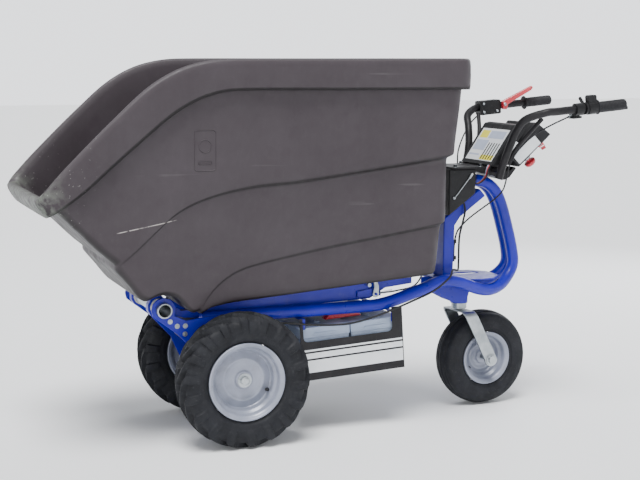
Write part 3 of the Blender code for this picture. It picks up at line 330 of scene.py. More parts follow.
# Name, colour, second colour, roughness, and the share of dust or the stretch of the brushing.
RUBBERS = (
    ("tyre_rubber", (0.007, 0.0075, 0.01), (0.015, 0.016, 0.02), 0.7, 0.12),
    ("grip_rubber", (0.013, 0.013, 0.015), (0.026, 0.026, 0.03), 0.68, 0.12),
)
METALS = (
    ("zinc_plate", (0.5, 0.53, 0.55), (0.3, 0.33, 0.35), 0.34, 1.0),
    ("cast_aluminium", (0.22, 0.23, 0.24), (0.12, 0.13, 0.14), 0.5, 0.4),
)
# Specular level of the surfaces that would look too pale with the usual one.
DULLED = {"black_plastic": 0.28, "black_powder_coat": 0.28, "tyre_rubber": 0.28, "grip_rubber": 0.28,
          "blue_paint": 0.36}


def make_surfaces():
    """Every material, by the record's slot name or by its own."""
    made = {
        "blue_paint": painted("blue_paint", (0.01, 0.01, 0.4), (0.007, 0.007, 0.29), 0.33, 0.08),
        "tub_polyethylene": make_tub_skin(),
        "silver_paint": make_rim_paint(),
    }
    for kind, rows in ((plastic, PLASTICS), (rubber, RUBBERS), (plated, METALS)):
        for row in rows:
            made[row[0]] = kind(*row)
    for name, level in DULLED.items():
        made[name].node_tree.nodes["Principled BSDF"].inputs["Specular IOR Level"].default_value = level
    return made


# Shapes

def add_piece(piece, material, body, slot=None, stands_for=None):
    """Put a piece in the scene with its material and its body, and hide the node it stands for; the slot is
    not used.
    """
    bpy.context.scene.collection.objects.link(piece)
    piece.data.materials.append(SURFACES[material])
    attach(piece, body)
    slot or material
    if stands_for:
        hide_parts(stands_for)
    return piece


def mesh_piece(name, points, faces, material, body, slot=None, stands_for=None,
               angle=SHARP_ANGLE):
    """A mesh with its faces turned outwards and edges under an angle smooth."""
    mesh = bpy.data.meshes.new(name)
    mesh.from_pydata([tuple(point) for point in points], [], faces)
    work = bmesh.new()
    work.from_mesh(mesh)
    bmesh.ops.recalc_face_normals(work, faces=work.faces)
    work.to_mesh(mesh)
    work.free()
    mesh.shade_smooth()
    mesh.set_sharp_from_angle(angle=math.radians(angle))
    return add_piece(bpy.data.objects.new(name, mesh), material, body, slot, stands_for)


def bevel(piece, width, segments=3):
    """Round the sharp edges of a piece."""
    modifier = piece.modifiers.new("rounded_edges", "BEVEL")
    modifier.width = width
    modifier.segments = segments
    modifier.limit_method = "ANGLE"
    modifier.angle_limit = math.radians(SHARP_ANGLE)
    modifier.harden_normals = True
    return piece


def row_faces(rows, size, closed=True, loop=True):
    """Quads between rows of points: closed joins the last row to the first, loop each row's ends."""
    faces = []
    for row in range(rows if closed else rows - 1):
        after = (row + 1) % rows
        for i in range(size if loop else size - 1):
            j = (i + 1) % size
            faces.append((row * size + i, row * size + j, after * size + j, after * size + i))
    return faces


def swept(place, ring, angle):
    """A ring of (radius, along) pairs at one angle about the Y axis of a place."""
    return [place @ Vector((r * math.cos(angle), y, r * math.sin(angle))) for r, y in ring]


def arc(radius, first, last, steps, middle=(0.0, 0.0)):
    """Points on an arc between two angles in degrees."""
    turns = [math.radians(first + (last - first) * i / steps) for i in range(steps + 1)]
    return [(middle[0] + radius * math.cos(a), middle[1] + radius * math.sin(a)) for a in turns]


def turned(name, profile, place, material, body, steps=72, loop=False, **more):
    """A profile of (radius, along) pairs turned about the Y axis of a place."""
    count = len(profile)
    points = []
    for step in range(steps):
        points += swept(place, profile, TAU * step / steps)
    faces = row_faces(steps, count, loop=loop)
    if not loop:
        faces.append(tuple(step * count for step in range(steps)))
        faces.append(tuple(step * count + count - 1 for step in range(steps)))
    return mesh_piece(name, points, faces, material, body, **more)


def prism(name, outline, low, high, place, material, body, **more):
    """A flat (x, z) outline drawn out along the Y axis of a place."""
    count = len(outline)
    points = [place @ Vector((x, low, z)) for x, z in outline]
    points += [place @ Vector((x, high, z)) for x, z in outline]
    faces = [tuple(range(count)), tuple(range(count, 2 * count))]
    faces += [(i, (i + 1) % count, (i + 1) % count + count, i + count) for i in range(count)]
    return mesh_piece(name, points, faces, material, body, **more)


def rounded_box(x0, z0, x1, z1, radius, steps=4):
    """Outline of a rectangle with round corners."""
    outline = []
    corners = ((x1 - radius, z1 - radius, 0), (x0 + radius, z1 - radius, 90))
    corners += ((x0 + radius, z0 + radius, 180), (x1 - radius, z0 + radius, 270))
    for x, z, first in corners:
        for i in range(steps + 1):
            angle = math.radians(first + 90 * i / steps)
            outline.append((x + radius * math.cos(angle), z + radius * math.sin(angle)))
    return outline


def smooth_route(stops, spacing):
    """Points about one spacing apart on a smooth curve through the stops."""
    stops = [Vector(stop) for stop in stops]
    route = [stops[0]]
    for i in range(len(stops) - 1):
        before = stops[max(i - 1, 0)]
        start, end = stops[i], stops[i + 1]
        after = stops[min(i + 2, len(stops) - 1)]
        steps = max(1, round((end - start).length / spacing))
        for step in range(1, steps + 1):
            t = step / steps
            a = 2 * start + (end - before) * t
            b = (2 * before - 5 * start + 4 * end - after) * t * t
            c = (3 * start - before - 3 * end + after) * t * t * t
            route.append((a + b + c) / 2)
    return route


def walker(route):
    """A function for the place at a distance along a route, and the route's whole length."""
    lengths = [0.0]
    for a, b in zip(route, route[1:]):
        lengths.append(lengths[-1] + (b - a).length)

    def at(distance):
        i = 0
        while i < len(route) - 2 and lengths[i + 1] < distance:
            i += 1
        t = (distance - lengths[i]) / (lengths[i + 1] - lengths[i])
        return route[i].lerp(route[i + 1], min(max(t, 0), 1))

    return at, lengths[-1]


def wire(name, route, radius, resolution, material, slot=None, stands_for=None):
    """A round wire of the chassis along a route in the frame's coordinates."""
    curve = bpy.data.curves.new(name, "CURVE")
    curve.dimensions = "3D"
    curve.bevel_depth = radius
    curve.bevel_resolution = resolution
    curve.use_fill_caps = True
    spline = curve.splines.new("POLY")
    spline.points.add(len(route) - 1)
    for point, place in zip(spline.points, route):
        point.co = (*place, 1)
    spline.use_smooth = True
    return add_piece(bpy.data.objects.new(name, curve), material, "chassis", slot, stands_for)


def tube(name, stops, radius, material, spacing, slot=None, stands_for=None):
    """A round tube or cable of the chassis along a smooth route of machine places."""
    route = smooth_route([spot(*stop) for stop in stops], spacing)
    return wire(name, route, radius, 6, material, slot, stands_for)


def along_line(start, end):
    """A place whose Y axis runs from start to end, both in the frame's coordinates."""
    turn = Vector((0, 1, 0)).rotation_difference(Vector(end) - Vector(start))
    return Matrix.Translation(start) @ turn.to_matrix().to_4x4()


def mirrored(stops, side):
    """The same stops on one side of the machine."""
    return [(x, side * y, z) for x, y, z in stops]


def hex_bolt(name, place, across, height, body):
    """A hex head with a chamfered top and a washer, standing on the Y axis of a place."""
    radius = across / math.sqrt(3)
    head = [(radius, 0.0015), (radius, height * 0.82), (radius * 0.86, height)]
    turned(name, head, place, "zinc_plate", body, 6, angle=25)
    inner, outer = across * 0.92, across * 0.96
    ring = [(inner, 0.0), (outer, 0.0004), (outer, 0.0012), (inner, 0.0016)]
    turned(name + "_washer", ring, place, "zinc_plate", body, 32)


def facing(side):
    """A turn that points the Y axis to one side of the machine."""
    return Matrix.Identity(4) if side > 0 else Matrix.Rotation(math.pi, 4, "Z")


UP = Matrix.Rotation(math.pi / 2, 4, "X")


# Wheels

def wheel_place(side):
    """Middle of a drive wheel, with the Y axis along its axle."""
    return Matrix.Translation((AXLE_X, side * WHEEL_Y, WHEEL_RADIUS))


def lug_height(angle, along, side, count, sweep):
    """How far a tractor tyre's chevron lugs stand out, from 0 to 1, at a place on the tread.

    along runs from 0 at the middle of the tread to 1 at the bead.
    """
    reach = min(max((along + 0.04) / 0.44, 0), 1)
    centre = (0.5 if side > 0 else 0.0) - sweep * reach ** 1.25
    turns = angle / TAU * count - centre
    gap = abs(turns - round(turns)) * 2
    half = 0.33 + 0.13 * reach
    across = min(max((half - gap) / 0.11, 0), 1)
    tail = min(max((0.74 - along) / 0.06, 0), 1)
    head = min(max((along + 0.05) / 0.05, 0), 1)
    soft = across * tail * head
    return soft * soft * (3 - 2 * soft)


def tyre_section(radius, half_width, bead_radius, crown, count):
    """Points (radius, across) of half a tyre from the middle of its tread to its bead."""
    bulge = (radius + bead_radius) / 2 - 0.004
    bead_across = half_width * 0.8
    shape = [(radius - 0.0005 - crown * t * t, bead_across * t) for t in (0, 0.25, 0.5, 0.75, 1)]
    shape += [(radius - crown - 0.007, half_width * 0.91), (radius - crown - 0.017, half_width * 0.97)]
    shape += [(bulge + 0.006, half_width), (bulge - 0.008, half_width * 0.99)]
    shape += [(bulge - 0.02, half_width * 0.94), (bead_radius + 0.01, half_width * 0.88)]
    shape += [(bead_radius + 0.0015, bead_across)]
    at, length = walker(smooth_route([(r, y, 0) for r, y in shape], 0.0035))
    return [at(length * i / count) for i in range(count + 1)]


def tyre(name, node, place, body, section, relief, steps, bead_radius):
    """A tyre with its relief: full section from bead to bead, closed by its inner wall."""
    half, sideways = len(section) - 1, 0.6
    points, size = [], 0
    for step in range(steps):
        angle = TAU * step / steps
        ring = []
        for side in (-1, 1):
            order = range(half, 0, -1) if side < 0 else range(half + 1)
            for k in order:
                rise, sink = relief(angle, k / half, side, section[k])
                run = section[min(k + 1, half)] - section[max(k - 1, 0)]
                outwards = Vector((run.y, -run.x, 0)).normalized()
                radius = section[k].x + rise * max(outwards.x, 0.0) - sink
                ring.append((radius, side * (section[k].y + sideways * rise * outwards.y)))
        bead = section[half].y
        ring += [(bead_radius + 0.0015, bead - 0.01), (bead_radius + 0.03, bead - 0.004)]
        ring += [(bead_radius + 0.03, 0.004 - bead), (bead_radius + 0.0015, 0.01 - bead)]
        size = len(ring)
        points += swept(place, ring, angle)
    mesh_piece(name, points, row_faces(steps, size), "tyre_rubber", body, stands_for=node, angle=60)


def make_drive_tyres():
    """Tractor-tread tyres whose chevron lugs run from the middle of the tread down the sidewall."""
    half_width, lug_depth, lugs, sweep, steps = 0.053, 0.0135, 18, 1.35, 340
    section = tyre_section(WHEEL_RADIUS - lug_depth, half_width - 0.0015, DRIVE_BEAD, 0.006, 30)

    def relief(angle, along, side, point):
        ridge = 0.0026 * math.exp(-((point.x - 0.144) / 0.0014) ** 2)
        ridge += 0.0022 * math.exp(-((point.x - 0.1235) / 0.0013) ** 2)
        fade = 1 - 0.45 * max(0, along - 0.4) / 0.3
        return lug_depth * lug_height(angle, along, side, lugs, sweep) * fade + ridge, 0.0

    for label, side in SIDES:
        tyre("tractor_tyre_" + label, "tyre_" + label, wheel_place(side), "wheel_" + label, section, relief,
             steps, DRIVE_BEAD)


def make_caster_tyre():
    """A ribbed tyre: round grooves in the tread and thin rings on the sidewall."""
    half_width, grooves, steps = 0.049, (0.0085, 0.0235), 120
    section = tyre_section(CASTER_RADIUS, half_width, CASTER_BEAD, 0.01, 52)

    def relief(angle, along, side, point):
        sink = ridge = 0.0
        if along < 0.5:
            sink = sum(0.0045 * math.exp(-((point.y - y) / 0.0021) ** 4) for y in grooves)
        if along > 0.4:
            ridge = 0.0008 * math.exp(-((point.x - 0.118) / 0.0011) ** 2)
            ridge += 0.0008 * math.exp(-((point.x - 0.0935) / 0.001) ** 2)
        return ridge, sink

    tyre("ribbed_tyre", "caster_tyre", CASTER_PLACE, "caster_wheel", section, relief, steps, CASTER_BEAD)


def rim_profile(radius, edge, disc_radius, hub_radius, bore):
    """Closed section of a dished steel rim: rolled flange, drop centre, pressed disc and hub."""
    steps = ((0, 0.004), (0.0003, 0.0012), (0.0018, 0), (0.004, 0.0002), (0.0058, 0.0022), (0.0085, 0.004))
    steps += ((0.0135, 0.0065), (0.0155, 0.013), (0.0165, 0.0215), (0.019, 0.0255), (0.0235, 0.028))
    steps += ((0.0262, 0.032),)
    outer = [(radius - inwards, edge - across) for inwards, across in steps]
    well, rise = radius - 0.0275, disc_radius + 0.006
    dish = [(well, 0.0065), (well - 0.0015, 0.002), (well - 0.0045, 0.0), (well - 0.0085, 0.0012)]
    dish += [(rise + 0.004, 0.006), (rise + 0.001, 0.0078), (rise - 0.003, 0.0078), (disc_radius, 0.006)]
    dish += [(disc_radius - 0.003, 0.0044), (hub_radius + 0.004, 0.0044), (hub_radius + 0.0015, 0.0054)]
    dish += [(hub_radius, 0.0075), (hub_radius - 0.001, 0.014), (hub_radius - 0.002, 0.015)]
    back = [(bore, 0.015), (bore, -0.029), (hub_radius, -0.029), (hub_radius, 0.001)]
    back += [(disc_radius - 0.003, 0.0016), (rise - 0.003, 0.005), (rise + 0.001, 0.005)]
    back += [(rise + 0.004, 0.003), (well - 0.008, -0.0018), (well - 0.0035, -0.0028), (well, -0.004)]
    inboard = [(r, -y) for r, y in reversed(outer)]
    seat = [(radius - 0.003, 0.0045 - edge), (radius - 0.0112, 0.0085 - edge)]
    seat += [(radius - 0.0135, 0.022 - edge), (radius - 0.024, 0.032 - edge), (radius - 0.0248, 0.0)]
    seat += [(r, -y) for r, y in reversed(seat[:-1])]
    return outer + dish + back + inboard + seat


def make_rims():
    """The three rims, each with the valve stem that the tyre is pumped up through."""
    profile = rim_profile(DRIVE_BEAD, 0.0477, 0.056, 0.026, 0.0128)
    for label, side in SIDES:
        place, body = wheel_place(side), "wheel_" + label
        turned("steel_rim_" + label, [(r, side * y) for r, y in profile], place, "silver_paint", body, 120,
               True, stands_for="rim_" + label, angle=50)
        valve_stem("valve_" + label, place, side, 0.083, -0.45, body)
    profile = rim_profile(CASTER_BEAD, 0.0441, 0.036, 0.022, 0.0085)
    turned("steel_rim_caster", [(r, -y) for r, y in profile], CASTER_PLACE, "silver_paint", "caster_wheel",
           96, True, stands_for="caster_rim", angle=50)
    valve_stem("valve_caster", CASTER_PLACE, 1, 0.0545, -2.4, "caster_wheel")


def valve_stem(name, place, side, radius, angle, body):
    """A short rubber stem with a black cap, standing on the disc of a rim and leaning to its hub."""
    depth, tilt, length = 0.0025, 0.55, 0.03
    foot = place @ Vector((radius * math.cos(angle), side * depth, radius * math.sin(angle)))
    lean = Vector((-tilt * math.cos(angle), side, -tilt * math.sin(angle)))
    line = along_line(foot, foot + (place.to_3x3() @ lean).normalized() * length)
    stem = [(0.0058, -0.002), (0.0058, 0.004), (0.0044, 0.008), (0.004, 0.017), (0.0028, 0.018)]
    turned(name + "_stem", stem, line, "tyre_rubber", body, 24)
    cap = [(0.0038, 0.0185), (0.004, 0.0195), (0.004, 0.028), (0.0032, 0.0295)]
    turned(name + "_cap", cap, line, "black_plastic", body, 20)


# Tub

RIM_LINE = [(0.713, 1.13), (0.35, 1.13), (-0.02, 1.13), (-0.1, 1.124), (-0.18, 1.104)]
RIM_LINE += [(-0.268, 1.057), (-0.361, 0.979), (-0.45, 0.898), (-0.528, 0.824), (-0.595, 0.754)]
BELT_LINE = [(0.35, 1.034), (0.01, 1.036), (-0.07, 1.03), (-0.14, 1.008), (-0.215, 0.965)]
BELT_LINE += [(-0.3, 0.897), (-0.385, 0.828)]
SKIRT_LINE = [(0.713, 1.033)] + BELT_LINE + [(-0.47, 0.757), (-0.568, 0.696)]
UPPER_LINE = [(0.688, 1.033)] + BELT_LINE + [(-0.46, 0.762), (-0.53, 0.706)]
MIDDLE_LINE = [(0.665, 0.838), (0.46, 0.811), (0.32, 0.793), (0.16, 0.774), (0.03, 0.764)]
MIDDLE_LINE += [(-0.09, 0.74), (-0.185, 0.702), (-0.258, 0.643), (-0.315, 0.592), (-0.372, 0.548)]
LOWER_LINE = [(0.648, 0.634), (0.45, 0.603), (0.29, 0.579), (0.17, 0.558), (0.05, 0.535)]
LOWER_LINE += [(-0.01, 0.517), (-0.055, 0.49), (-0.092, 0.455), (-0.113, 0.425), (-0.124, 0.4005)]
TUB_WALL = 0.007


def floor_z(x):
    """Height of the underside of the tub floor."""
    return 0.414 + 0.08 * (x + 0.05)


def tub_ring(line, rear_half, front_half, rear_radius, front_radius):
    """A closed belt round the tub that follows one side line and has round corners."""
    at, total = walker(smooth_route([(x, 0, z) for x, z in line], 0.01))
    side_steps, corner = 40, [math.radians(angle) for angle in range(90, 0, -15)]
    half = []
    for turn in corner:
        place = at(rear_radius * (1 - math.sin(turn)))
        half.append((place.x, rear_half - rear_radius * (1 - math.cos(turn)), place.z))
    for step in range(side_steps):
        t = step / (side_steps - 1)
        place = at(rear_radius + (total - rear_radius - front_radius) * t)
        half.append((place.x, rear_half + (front_half - rear_half) * t, place.z))
    for turn in reversed(corner):
        place = at(total - front_radius * (1 - math.sin(turn)))
        half.append((place.x, front_half - front_radius * (1 - math.cos(turn)), place.z))
    return [(x, -y, z) for x, y, z in half] + half[::-1]


def shifted(line, rear, front, drop):
    """A line with its ends moved along X and all of it moved down."""
    count = len(line) - 1
    return [(x + rear + (front - rear) * (i / count) ** 2, z - drop) for i, (x, z) in enumerate(line)]


def between(first, second, share, end=None):
    """A line part of the way from one line to another, with its front led to any given end."""
    count = len(first) - 1
    line = [(a[0] + (b[0] - a[0]) * share, a[1] + (b[1] - a[1]) * share) for a, b in zip(first, second)]
    if end:
        gap_x, gap_z = end[0] - line[-1][0], end[1] - line[-1][1]
        pulls = [(i / count) ** 4 for i in range(count + 1)]
        line = [(x + gap_x * pull, z + gap_z * pull) for pull, (x, z) in zip(pulls, line)]
    return line


def floor_line(start, pitch, lift, end):
    """A line along the tub floor, raised above its underside, that ends at a given point."""
    return [(start - i * pitch, floor_z(start - i * pitch) + lift) for i in range(9)] + [end]


def tub_rings():
    """The tub's belts from the hem of its skirt over the rim and down the terraces to the floor."""
    skirt = 0.311 - TUB_WALL
    start = shifted(MIDDLE_LINE, -0.014, 0, 0.006)
    finish = shifted(LOWER_LINE, 0.004, 0, -0.006)
    fronts = [(-0.33, 0.492), (-0.306, 0.456), (-0.29, 0.443), (-0.274, 0.444), (-0.256, 0.456)]
    fronts += [(-0.222, 0.46), (-0.19, 0.449), (-0.168, 0.424), (-0.152, 0.404), (-0.136, 0.398)]
    # Each row: a side line, half of the width behind and in front, corner radii behind and in front.
    rows = [
        (shifted(SKIRT_LINE, -TUB_WALL, TUB_WALL, 0), skirt, 0.288, 0.05, 0.04),
        (shifted(RIM_LINE, -TUB_WALL, 0.006, 0.014), skirt, 0.288, 0.05, 0.04),
        (shifted(RIM_LINE, -0.009, 0.0085, 0.0095), skirt - 0.0022, 0.286, 0.049, 0.039),
        (shifted(RIM_LINE, -0.013, 0.013, 0.008), 0.298, 0.281, 0.047, 0.037),
        (shifted(RIM_LINE, -0.019, 0.023, 0.009), 0.293, 0.276, 0.045, 0.036),
        (shifted(RIM_LINE, -0.023, 0.03, 0.015), 0.289, 0.272, 0.043, 0.034),
        (UPPER_LINE, 0.288, 0.268, 0.042, 0.03),
    ]
    for share in (0.3, 0.6, 0.85):
        line = between(UPPER_LINE, MIDDLE_LINE, share)
        rows.append((line, 0.288 - 0.006 * share, 0.268 - 0.01 * share, 0.042, 0.03))
    rows += [
        (shifted(MIDDLE_LINE, 0.004, 0, -0.0085), 0.2808, 0.2565, 0.042, 0.03),
        (shifted(MIDDLE_LINE, 0.0015, 0, -0.002), 0.2775, 0.2558, 0.042, 0.03),
        (shifted(MIDDLE_LINE, -0.011, 0, 0.003), 0.2655, 0.253, 0.04, 0.03),
        (shifted(MIDDLE_LINE, -0.014, 0, 0.0095), 0.262, 0.252, 0.04, 0.03),
    ]
    for number, front in enumerate(fronts, 1):
        share = number / (len(fronts) + 1)
        line = between(start, finish, share, front)
        rows.append((line, 0.262 - 0.006 * share, 0.25 - 0.032 * share, 0.04, 0.028 - 0.012 * share))
    rows += [
        (finish, 0.2545, 0.217, 0.04, 0.016),
        (shifted(LOWER_LINE, 0.002, 0.0015, -0.001), 0.252, 0.2165, 0.04, 0.016),
        (shifted(LOWER_LINE, -0.006, 0.0065, 0.0035), 0.245, 0.214, 0.038, 0.016),
        (shifted(LOWER_LINE, -0.009, 0.008, 0.009), 0.2425, 0.213, 0.038, 0.016),
        (floor_line(0.634, 0.0815, 0.018, (-0.09, 0.411)), 0.2275, 0.207, 0.036, 0.016),
        (floor_line(0.632, 0.0812, 0.008, (-0.088, 0.4105)), 0.2225, 0.204, 0.036, 0.016),
        (floor_line(0.618, 0.0795, 0.0, (-0.075, 0.412)), 0.206, 0.192, 0.03, 0.014),
    ]
    return [tub_ring(*row) for row in rows]


def make_tub():
    """The thin-walled tub in its full curves."""
    rings = tub_rings()
    size = len(rings[0])
    points = [spot(*point) for ring in rings for point in ring]
    faces = row_faces(len(rings), size, closed=False)
    last = (len(rings) - 1) * size
    for i in range(size // 2 - 1):
        faces.append((last + i, last + i + 1, last + size - 2 - i, last + size - 1 - i))
    mesh = bpy.data.meshes.new("moulded_tub")
    mesh.from_pydata([tuple(point) for point in points], [], faces)
    mesh.shade_smooth()
    tub = add_piece(bpy.data.objects.new("moulded_tub", mesh), "tub_polyethylene", "tub", stands_for="tub")
    wall = tub.modifiers.new("wall", "SOLIDIFY")
    wall.thickness = TUB_WALL
    wall.offset = -1
    wall.use_even_offset = True
    fine = tub.modifiers.new("fine", "SUBSURF")
    fine.levels = 1
    fine.render_levels = 1
    return tub


def make_tub_mark(tub):
    """A raised plain emblem on both sides of the tub: a frame with a bar and a ring in it."""
    skin = BVHTree.FromObject(tub, bpy.context.evaluated_depsgraph_get())
    low_x, high_x, low_z, high_z = -0.1475, -0.0855, 0.815, 0.929
    middle_x, middle_z = (low_x + high_x) / 2, (low_z + high_z) / 2 + 0.012
    bar = (middle_x - 0.02, low_z + 0.018, middle_x + 0.02, low_z + 0.026)
    shapes = [(rounded_box(low_x, low_z, high_x, high_z, 0.008), 0.0042)]
    shapes.append((arc(0.018, 0, 360, 28, (middle_x, middle_z))[:-1], 0.0036))
    shapes.append((rounded_box(*bar, 0.0039), 0.0024))
    for label, side in SIDES:
        for number, (outline, width) in enumerate(shapes):
            raised_line("tub_mark_%s_%d" % (label, number), outline, width, side, skin)


def raised_line(name, outline, width, side, skin):
    """A rounded ridge along a closed (x, z) outline, lying on the tub's skin."""
    count, outside = len(outline), 0.4
    section = ((-0.5, -0.001), (-0.28, 0.0011), (0.0, 0.0016), (0.28, 0.0011), (0.5, -0.001))
    middle_x = sum(x for x, z in outline) / count
    middle_z = sum(z for x, z in outline) / count
    points = []
    for x, z in outline:
        x, z = x - middle_x, z - middle_z
        for across, rise in section:
            scale = 1 + width * across / math.hypot(x, z)
            place = spot(middle_x + x * scale, side * outside, middle_z + z * scale)
            hit = skin.ray_cast(place, Vector((0, -side, 0)))[0]
            points.append(hit + Vector((0, side * rise, 0)))
    mesh_piece(name, points, row_faces(count, len(section)), "tub_polyethylene", "tub", angle=80)


# Chassis

def make_frame_tubes():
    """The two long tubes in their full round."""
    rail_y, hoop_y, radius = 0.145, 0.02, 0.019
    stops = [(-0.1, rail_y, 0.373), (0.15, rail_y, 0.373), (0.4, rail_y, 0.375)]
    stops += [(0.49, rail_y, 0.381), (0.61, 0.141, 0.414), (0.683, 0.132, 0.435), (0.734, 0.125, 0.432)]
    stops += [(0.78, 0.114, 0.418), (0.83, 0.099, 0.399), (0.881, 0.08, 0.39), (0.929, 0.058, 0.398)]
    stops += [(0.969, 0.034, 0.422), (0.995, hoop_y + 0.003, 0.462), (0.99, hoop_y, 0.519)]
    stops += [(0.97, hoop_y, 0.596), (0.95, hoop_y, 0.66), (0.926, hoop_y, 0.705)]
    stops += [(0.892, hoop_y, 0.731), (0.852, hoop_y, 0.741)]
    for label, side in SIDES:
        tube("long_tube_" + label, mirrored(stops, side), radius, "blue_paint", 0.01,
             stands_for="frame_tube_" + label)


def make_bracket_bolts():
    """Bolt heads on both front brackets."""
    face_y, across, height = 0.1716, 0.0078, 0.0048
    spots = ((-0.199, 0.372), (-0.154, 0.357), (-0.155, 0.333), (-0.178, 0.3575), (0.03, 0.215))
    spots += ((-0.036, 0.186),)
    for label, side in SIDES:
        for number, (x, z) in enumerate(spots):
            place = Matrix.Translation(spot(x, side * face_y, z)) @ facing(side)
            hex_bolt("bracket_bolt_%s_%d" % (label, number), place, across, height, "chassis")


def make_tipping_tube():
    """The tipping tube with its chamfered mouths."""
    half, outer, inner = 0.19, 0.0225, 0.0178
    mouth = [(outer, half - 0.0012), (outer - 0.0012, half), (inner + 0.0008, half), (inner, half - 0.001)]
    profile = mouth + [(r, -y) for r, y in reversed(mouth)]
    place = Matrix.Translation(spot(-0.218, 0, 0.407))
    turned("tipping_tube", profile, place, "zinc_plate", "chassis", 72, True, stands_for="pivot_tube")


def make_fork():
    """The caster's strap fork: one wide strap bent over the wheel, raked back to the axle."""
    crown_z, thick, arm_y, strap, bend, foot_z = 0.318, 0.008, 0.0665, 0.046, 0.024, 0.155
    half_outer = [(-arm_y - thick / 2, foot_z)]
    half_inner = [(-arm_y + thick / 2, foot_z)]
    middle = (-arm_y + bend - 0.004, crown_z - bend + 0.004)
    half_outer += arc(bend, 180, 90, 8, middle)
    half_outer = [(y, min(z, crown_z)) for y, z in half_outer]
    half_inner += arc(bend - thick, 180, 90, 8, middle)
    outer = half_outer + [(-y, z) for y, z in reversed(half_outer)]
    inner = half_inner + [(-y, z) for y, z in reversed(half_inner)]
    rake = CASTER_TRAIL / (crown_z - CASTER_RADIUS)
    slices, section = 12, outer + inner[::-1]
    half, count = len(outer), len(section)
    points = []
    for i in range(slices + 1):
        across = -strap / 2 + strap * i / slices
        for y, z in section:
            points.append(FORK_PLACE @ Vector((across + max(0.0, crown_z - z) * rake, y, z)))
    faces = row_faces(slices + 1, count, closed=False)
    for first in (0, slices * count):
        last = first + count - 1
        faces += [(first + k, first + k + 1, last - 1 - k, last - k) for k in range(half - 1)]
    strap_piece = mesh_piece("strap_fork", points, faces, "zinc_plate", "caster", stands_for="caster_fork")
    bevel(strap_piece, 0.0016, 3)
    ring = arc(strap / 2, 180, 360, 16)
    for label, side in SIDES:
        place = FORK_PLACE @ Matrix.Translation((CASTER_TRAIL, 0, CASTER_RADIUS + 0.0005))
        low, high = sorted((side * (arm_y - thick / 2), side * (arm_y + thick / 2)))
        foot = prism("fork_foot_" + label, ring, low, high, place, "zinc_plate", "caster")
        bevel(foot, 0.0012, 2)
        end = (CASTER_TRAIL, side * (arm_y + thick / 2 + 0.0003), CASTER_RADIUS)
        bolt = FORK_PLACE @ Matrix.Translation(end) @ facing(side)
        hex_bolt("axle_nut_" + label, bolt, 0.019, 0.0095, "caster")
    stem = [(0.0125, 0.319), (0.0125, 0.402)]
    turned("kingpin", stem, FORK_PLACE @ UP, "zinc_plate", "caster", 40)


def make_motor_fins():
    """The drive motor's case: round ribs between two end bells."""
    profile = [(0.01, -0.118), (0.028, -0.118), (0.036, -0.1165), (0.0415, -0.111), (0.043, -0.104)]
    profile += [(0.043, -0.082)]
    valley, ridge, pitch = 0.0395, 0.0458, 0.0125
    for fin in range(13):
        start = -0.078 + pitch * fin
        profile += [(valley, start), (ridge, start + 0.0008), (ridge, start + 0.0044)]
        profile += [(valley, start + 0.0052)]
    profile += [(0.0435, 0.086), (0.0455, 0.088), (0.0455, 0.103), (0.036, 0.11), (0.028, 0.112)]
    profile += [(0.01, 0.112)]
    place = Matrix.Translation(spot(-0.078, 0, 0.3105))
    turned("finned_motor", profile, place, "cast_aluminium", "chassis", 64, stands_for="drive_motor",
           angle=30)


# Batteries

def tray_place():
    """Frame of the battery tray: X along it, Z up from its bottom."""
    corner = spot(TRAY_CORNER[0], 0, TRAY_CORNER[1])
    return Matrix.Translation(corner) @ Matrix.Rotation(-TRAY_TILT, 4, "Y")


def make_tray_stripes():
    """Plain vinyl stripes along both side panels."""
    place, start, end, face_y, thick = tray_place(), 0.0006, 0.331, 0.1828, 0.00055
    bands = ((0.0235, 0.061), (0.0665, 0.083), (0.0887, 0.0943))
    for label, side in SIDES:
        for number, (low, high) in enumerate(bands):
            near, far = sorted((side * face_y, side * (face_y + thick)))
            outline = rounded_box(start, low, end, high, 0.0006, 2)
            stripe = prism("tray_stripe_%s_%d" % (label, number), outline, near, far, place, "label_white",
                           "chassis", slot="black_powder_coat")
            bevel(stripe, 0.0001, 1)


def make_batteries():
    """Each battery: ribbed case, a lid that stands out round it, side handles and filler caps."""
    length, half, height, lid, inset = 0.162, 0.1725, 0.165, 0.128, 0.0022

    def moulding(name, outline, low, high, edge, segments, stands_for=None):
        piece = prism(name, outline, *sorted((low, high)), shift, "battery_case", "chassis",
                      stands_for=stands_for)
        bevel(piece, edge, segments)

    for number, name in enumerate(("front", "rear")):
        shift = tray_place() @ Matrix.Translation((0.002 + number * (length + 0.003), 0, 0))
        case = rounded_box(inset, 0.0033, length - inset, lid, 0.004)
        moulding("battery_case_" + name, case, inset - half, half - inset, 0.003, 3, "battery_" + name)
        top = rounded_box(0, lid - 0.001, length, height - 0.006, 0.003)
        moulding("battery_lid_" + name, top, -half, half, 0.0022, 3)
        handle = rounded_box(0.045, lid + 0.006, length - 0.045, lid + 0.014, 0.003)
        for side, sign in enumerate((-1, 1)):
            for rib in range(9):
                x = 0.016 + rib * 0.0162
                outline = rounded_box(x - 0.0018, 0.03, x + 0.0018, lid - 0.006, 0.0016)
                moulding("battery_rib_%s_%d_%d" % (name, rib, side), outline, sign * (half - 0.003),
                         sign * (half - 0.0006), 0.0006, 2)
            moulding("battery_handle_%s_%d" % (name, side), handle, sign * (half - 0.002),
                     sign * (half + 0.0022), 0.001, 2)
        cap_profile = [(0.01, 0), (0.01, 0.003), (0.0088, 0.0042), (0.004, 0.0046)]
        for cap in range(6):
            line = shift @ Matrix.Translation((length / 2, -0.1 + cap * 0.04, height - 0.0065)) @ UP
            turned("filler_cap_%s_%d" % (name, cap), cap_profile, line, "battery_case", "chassis", 32)


# Head, console and controls

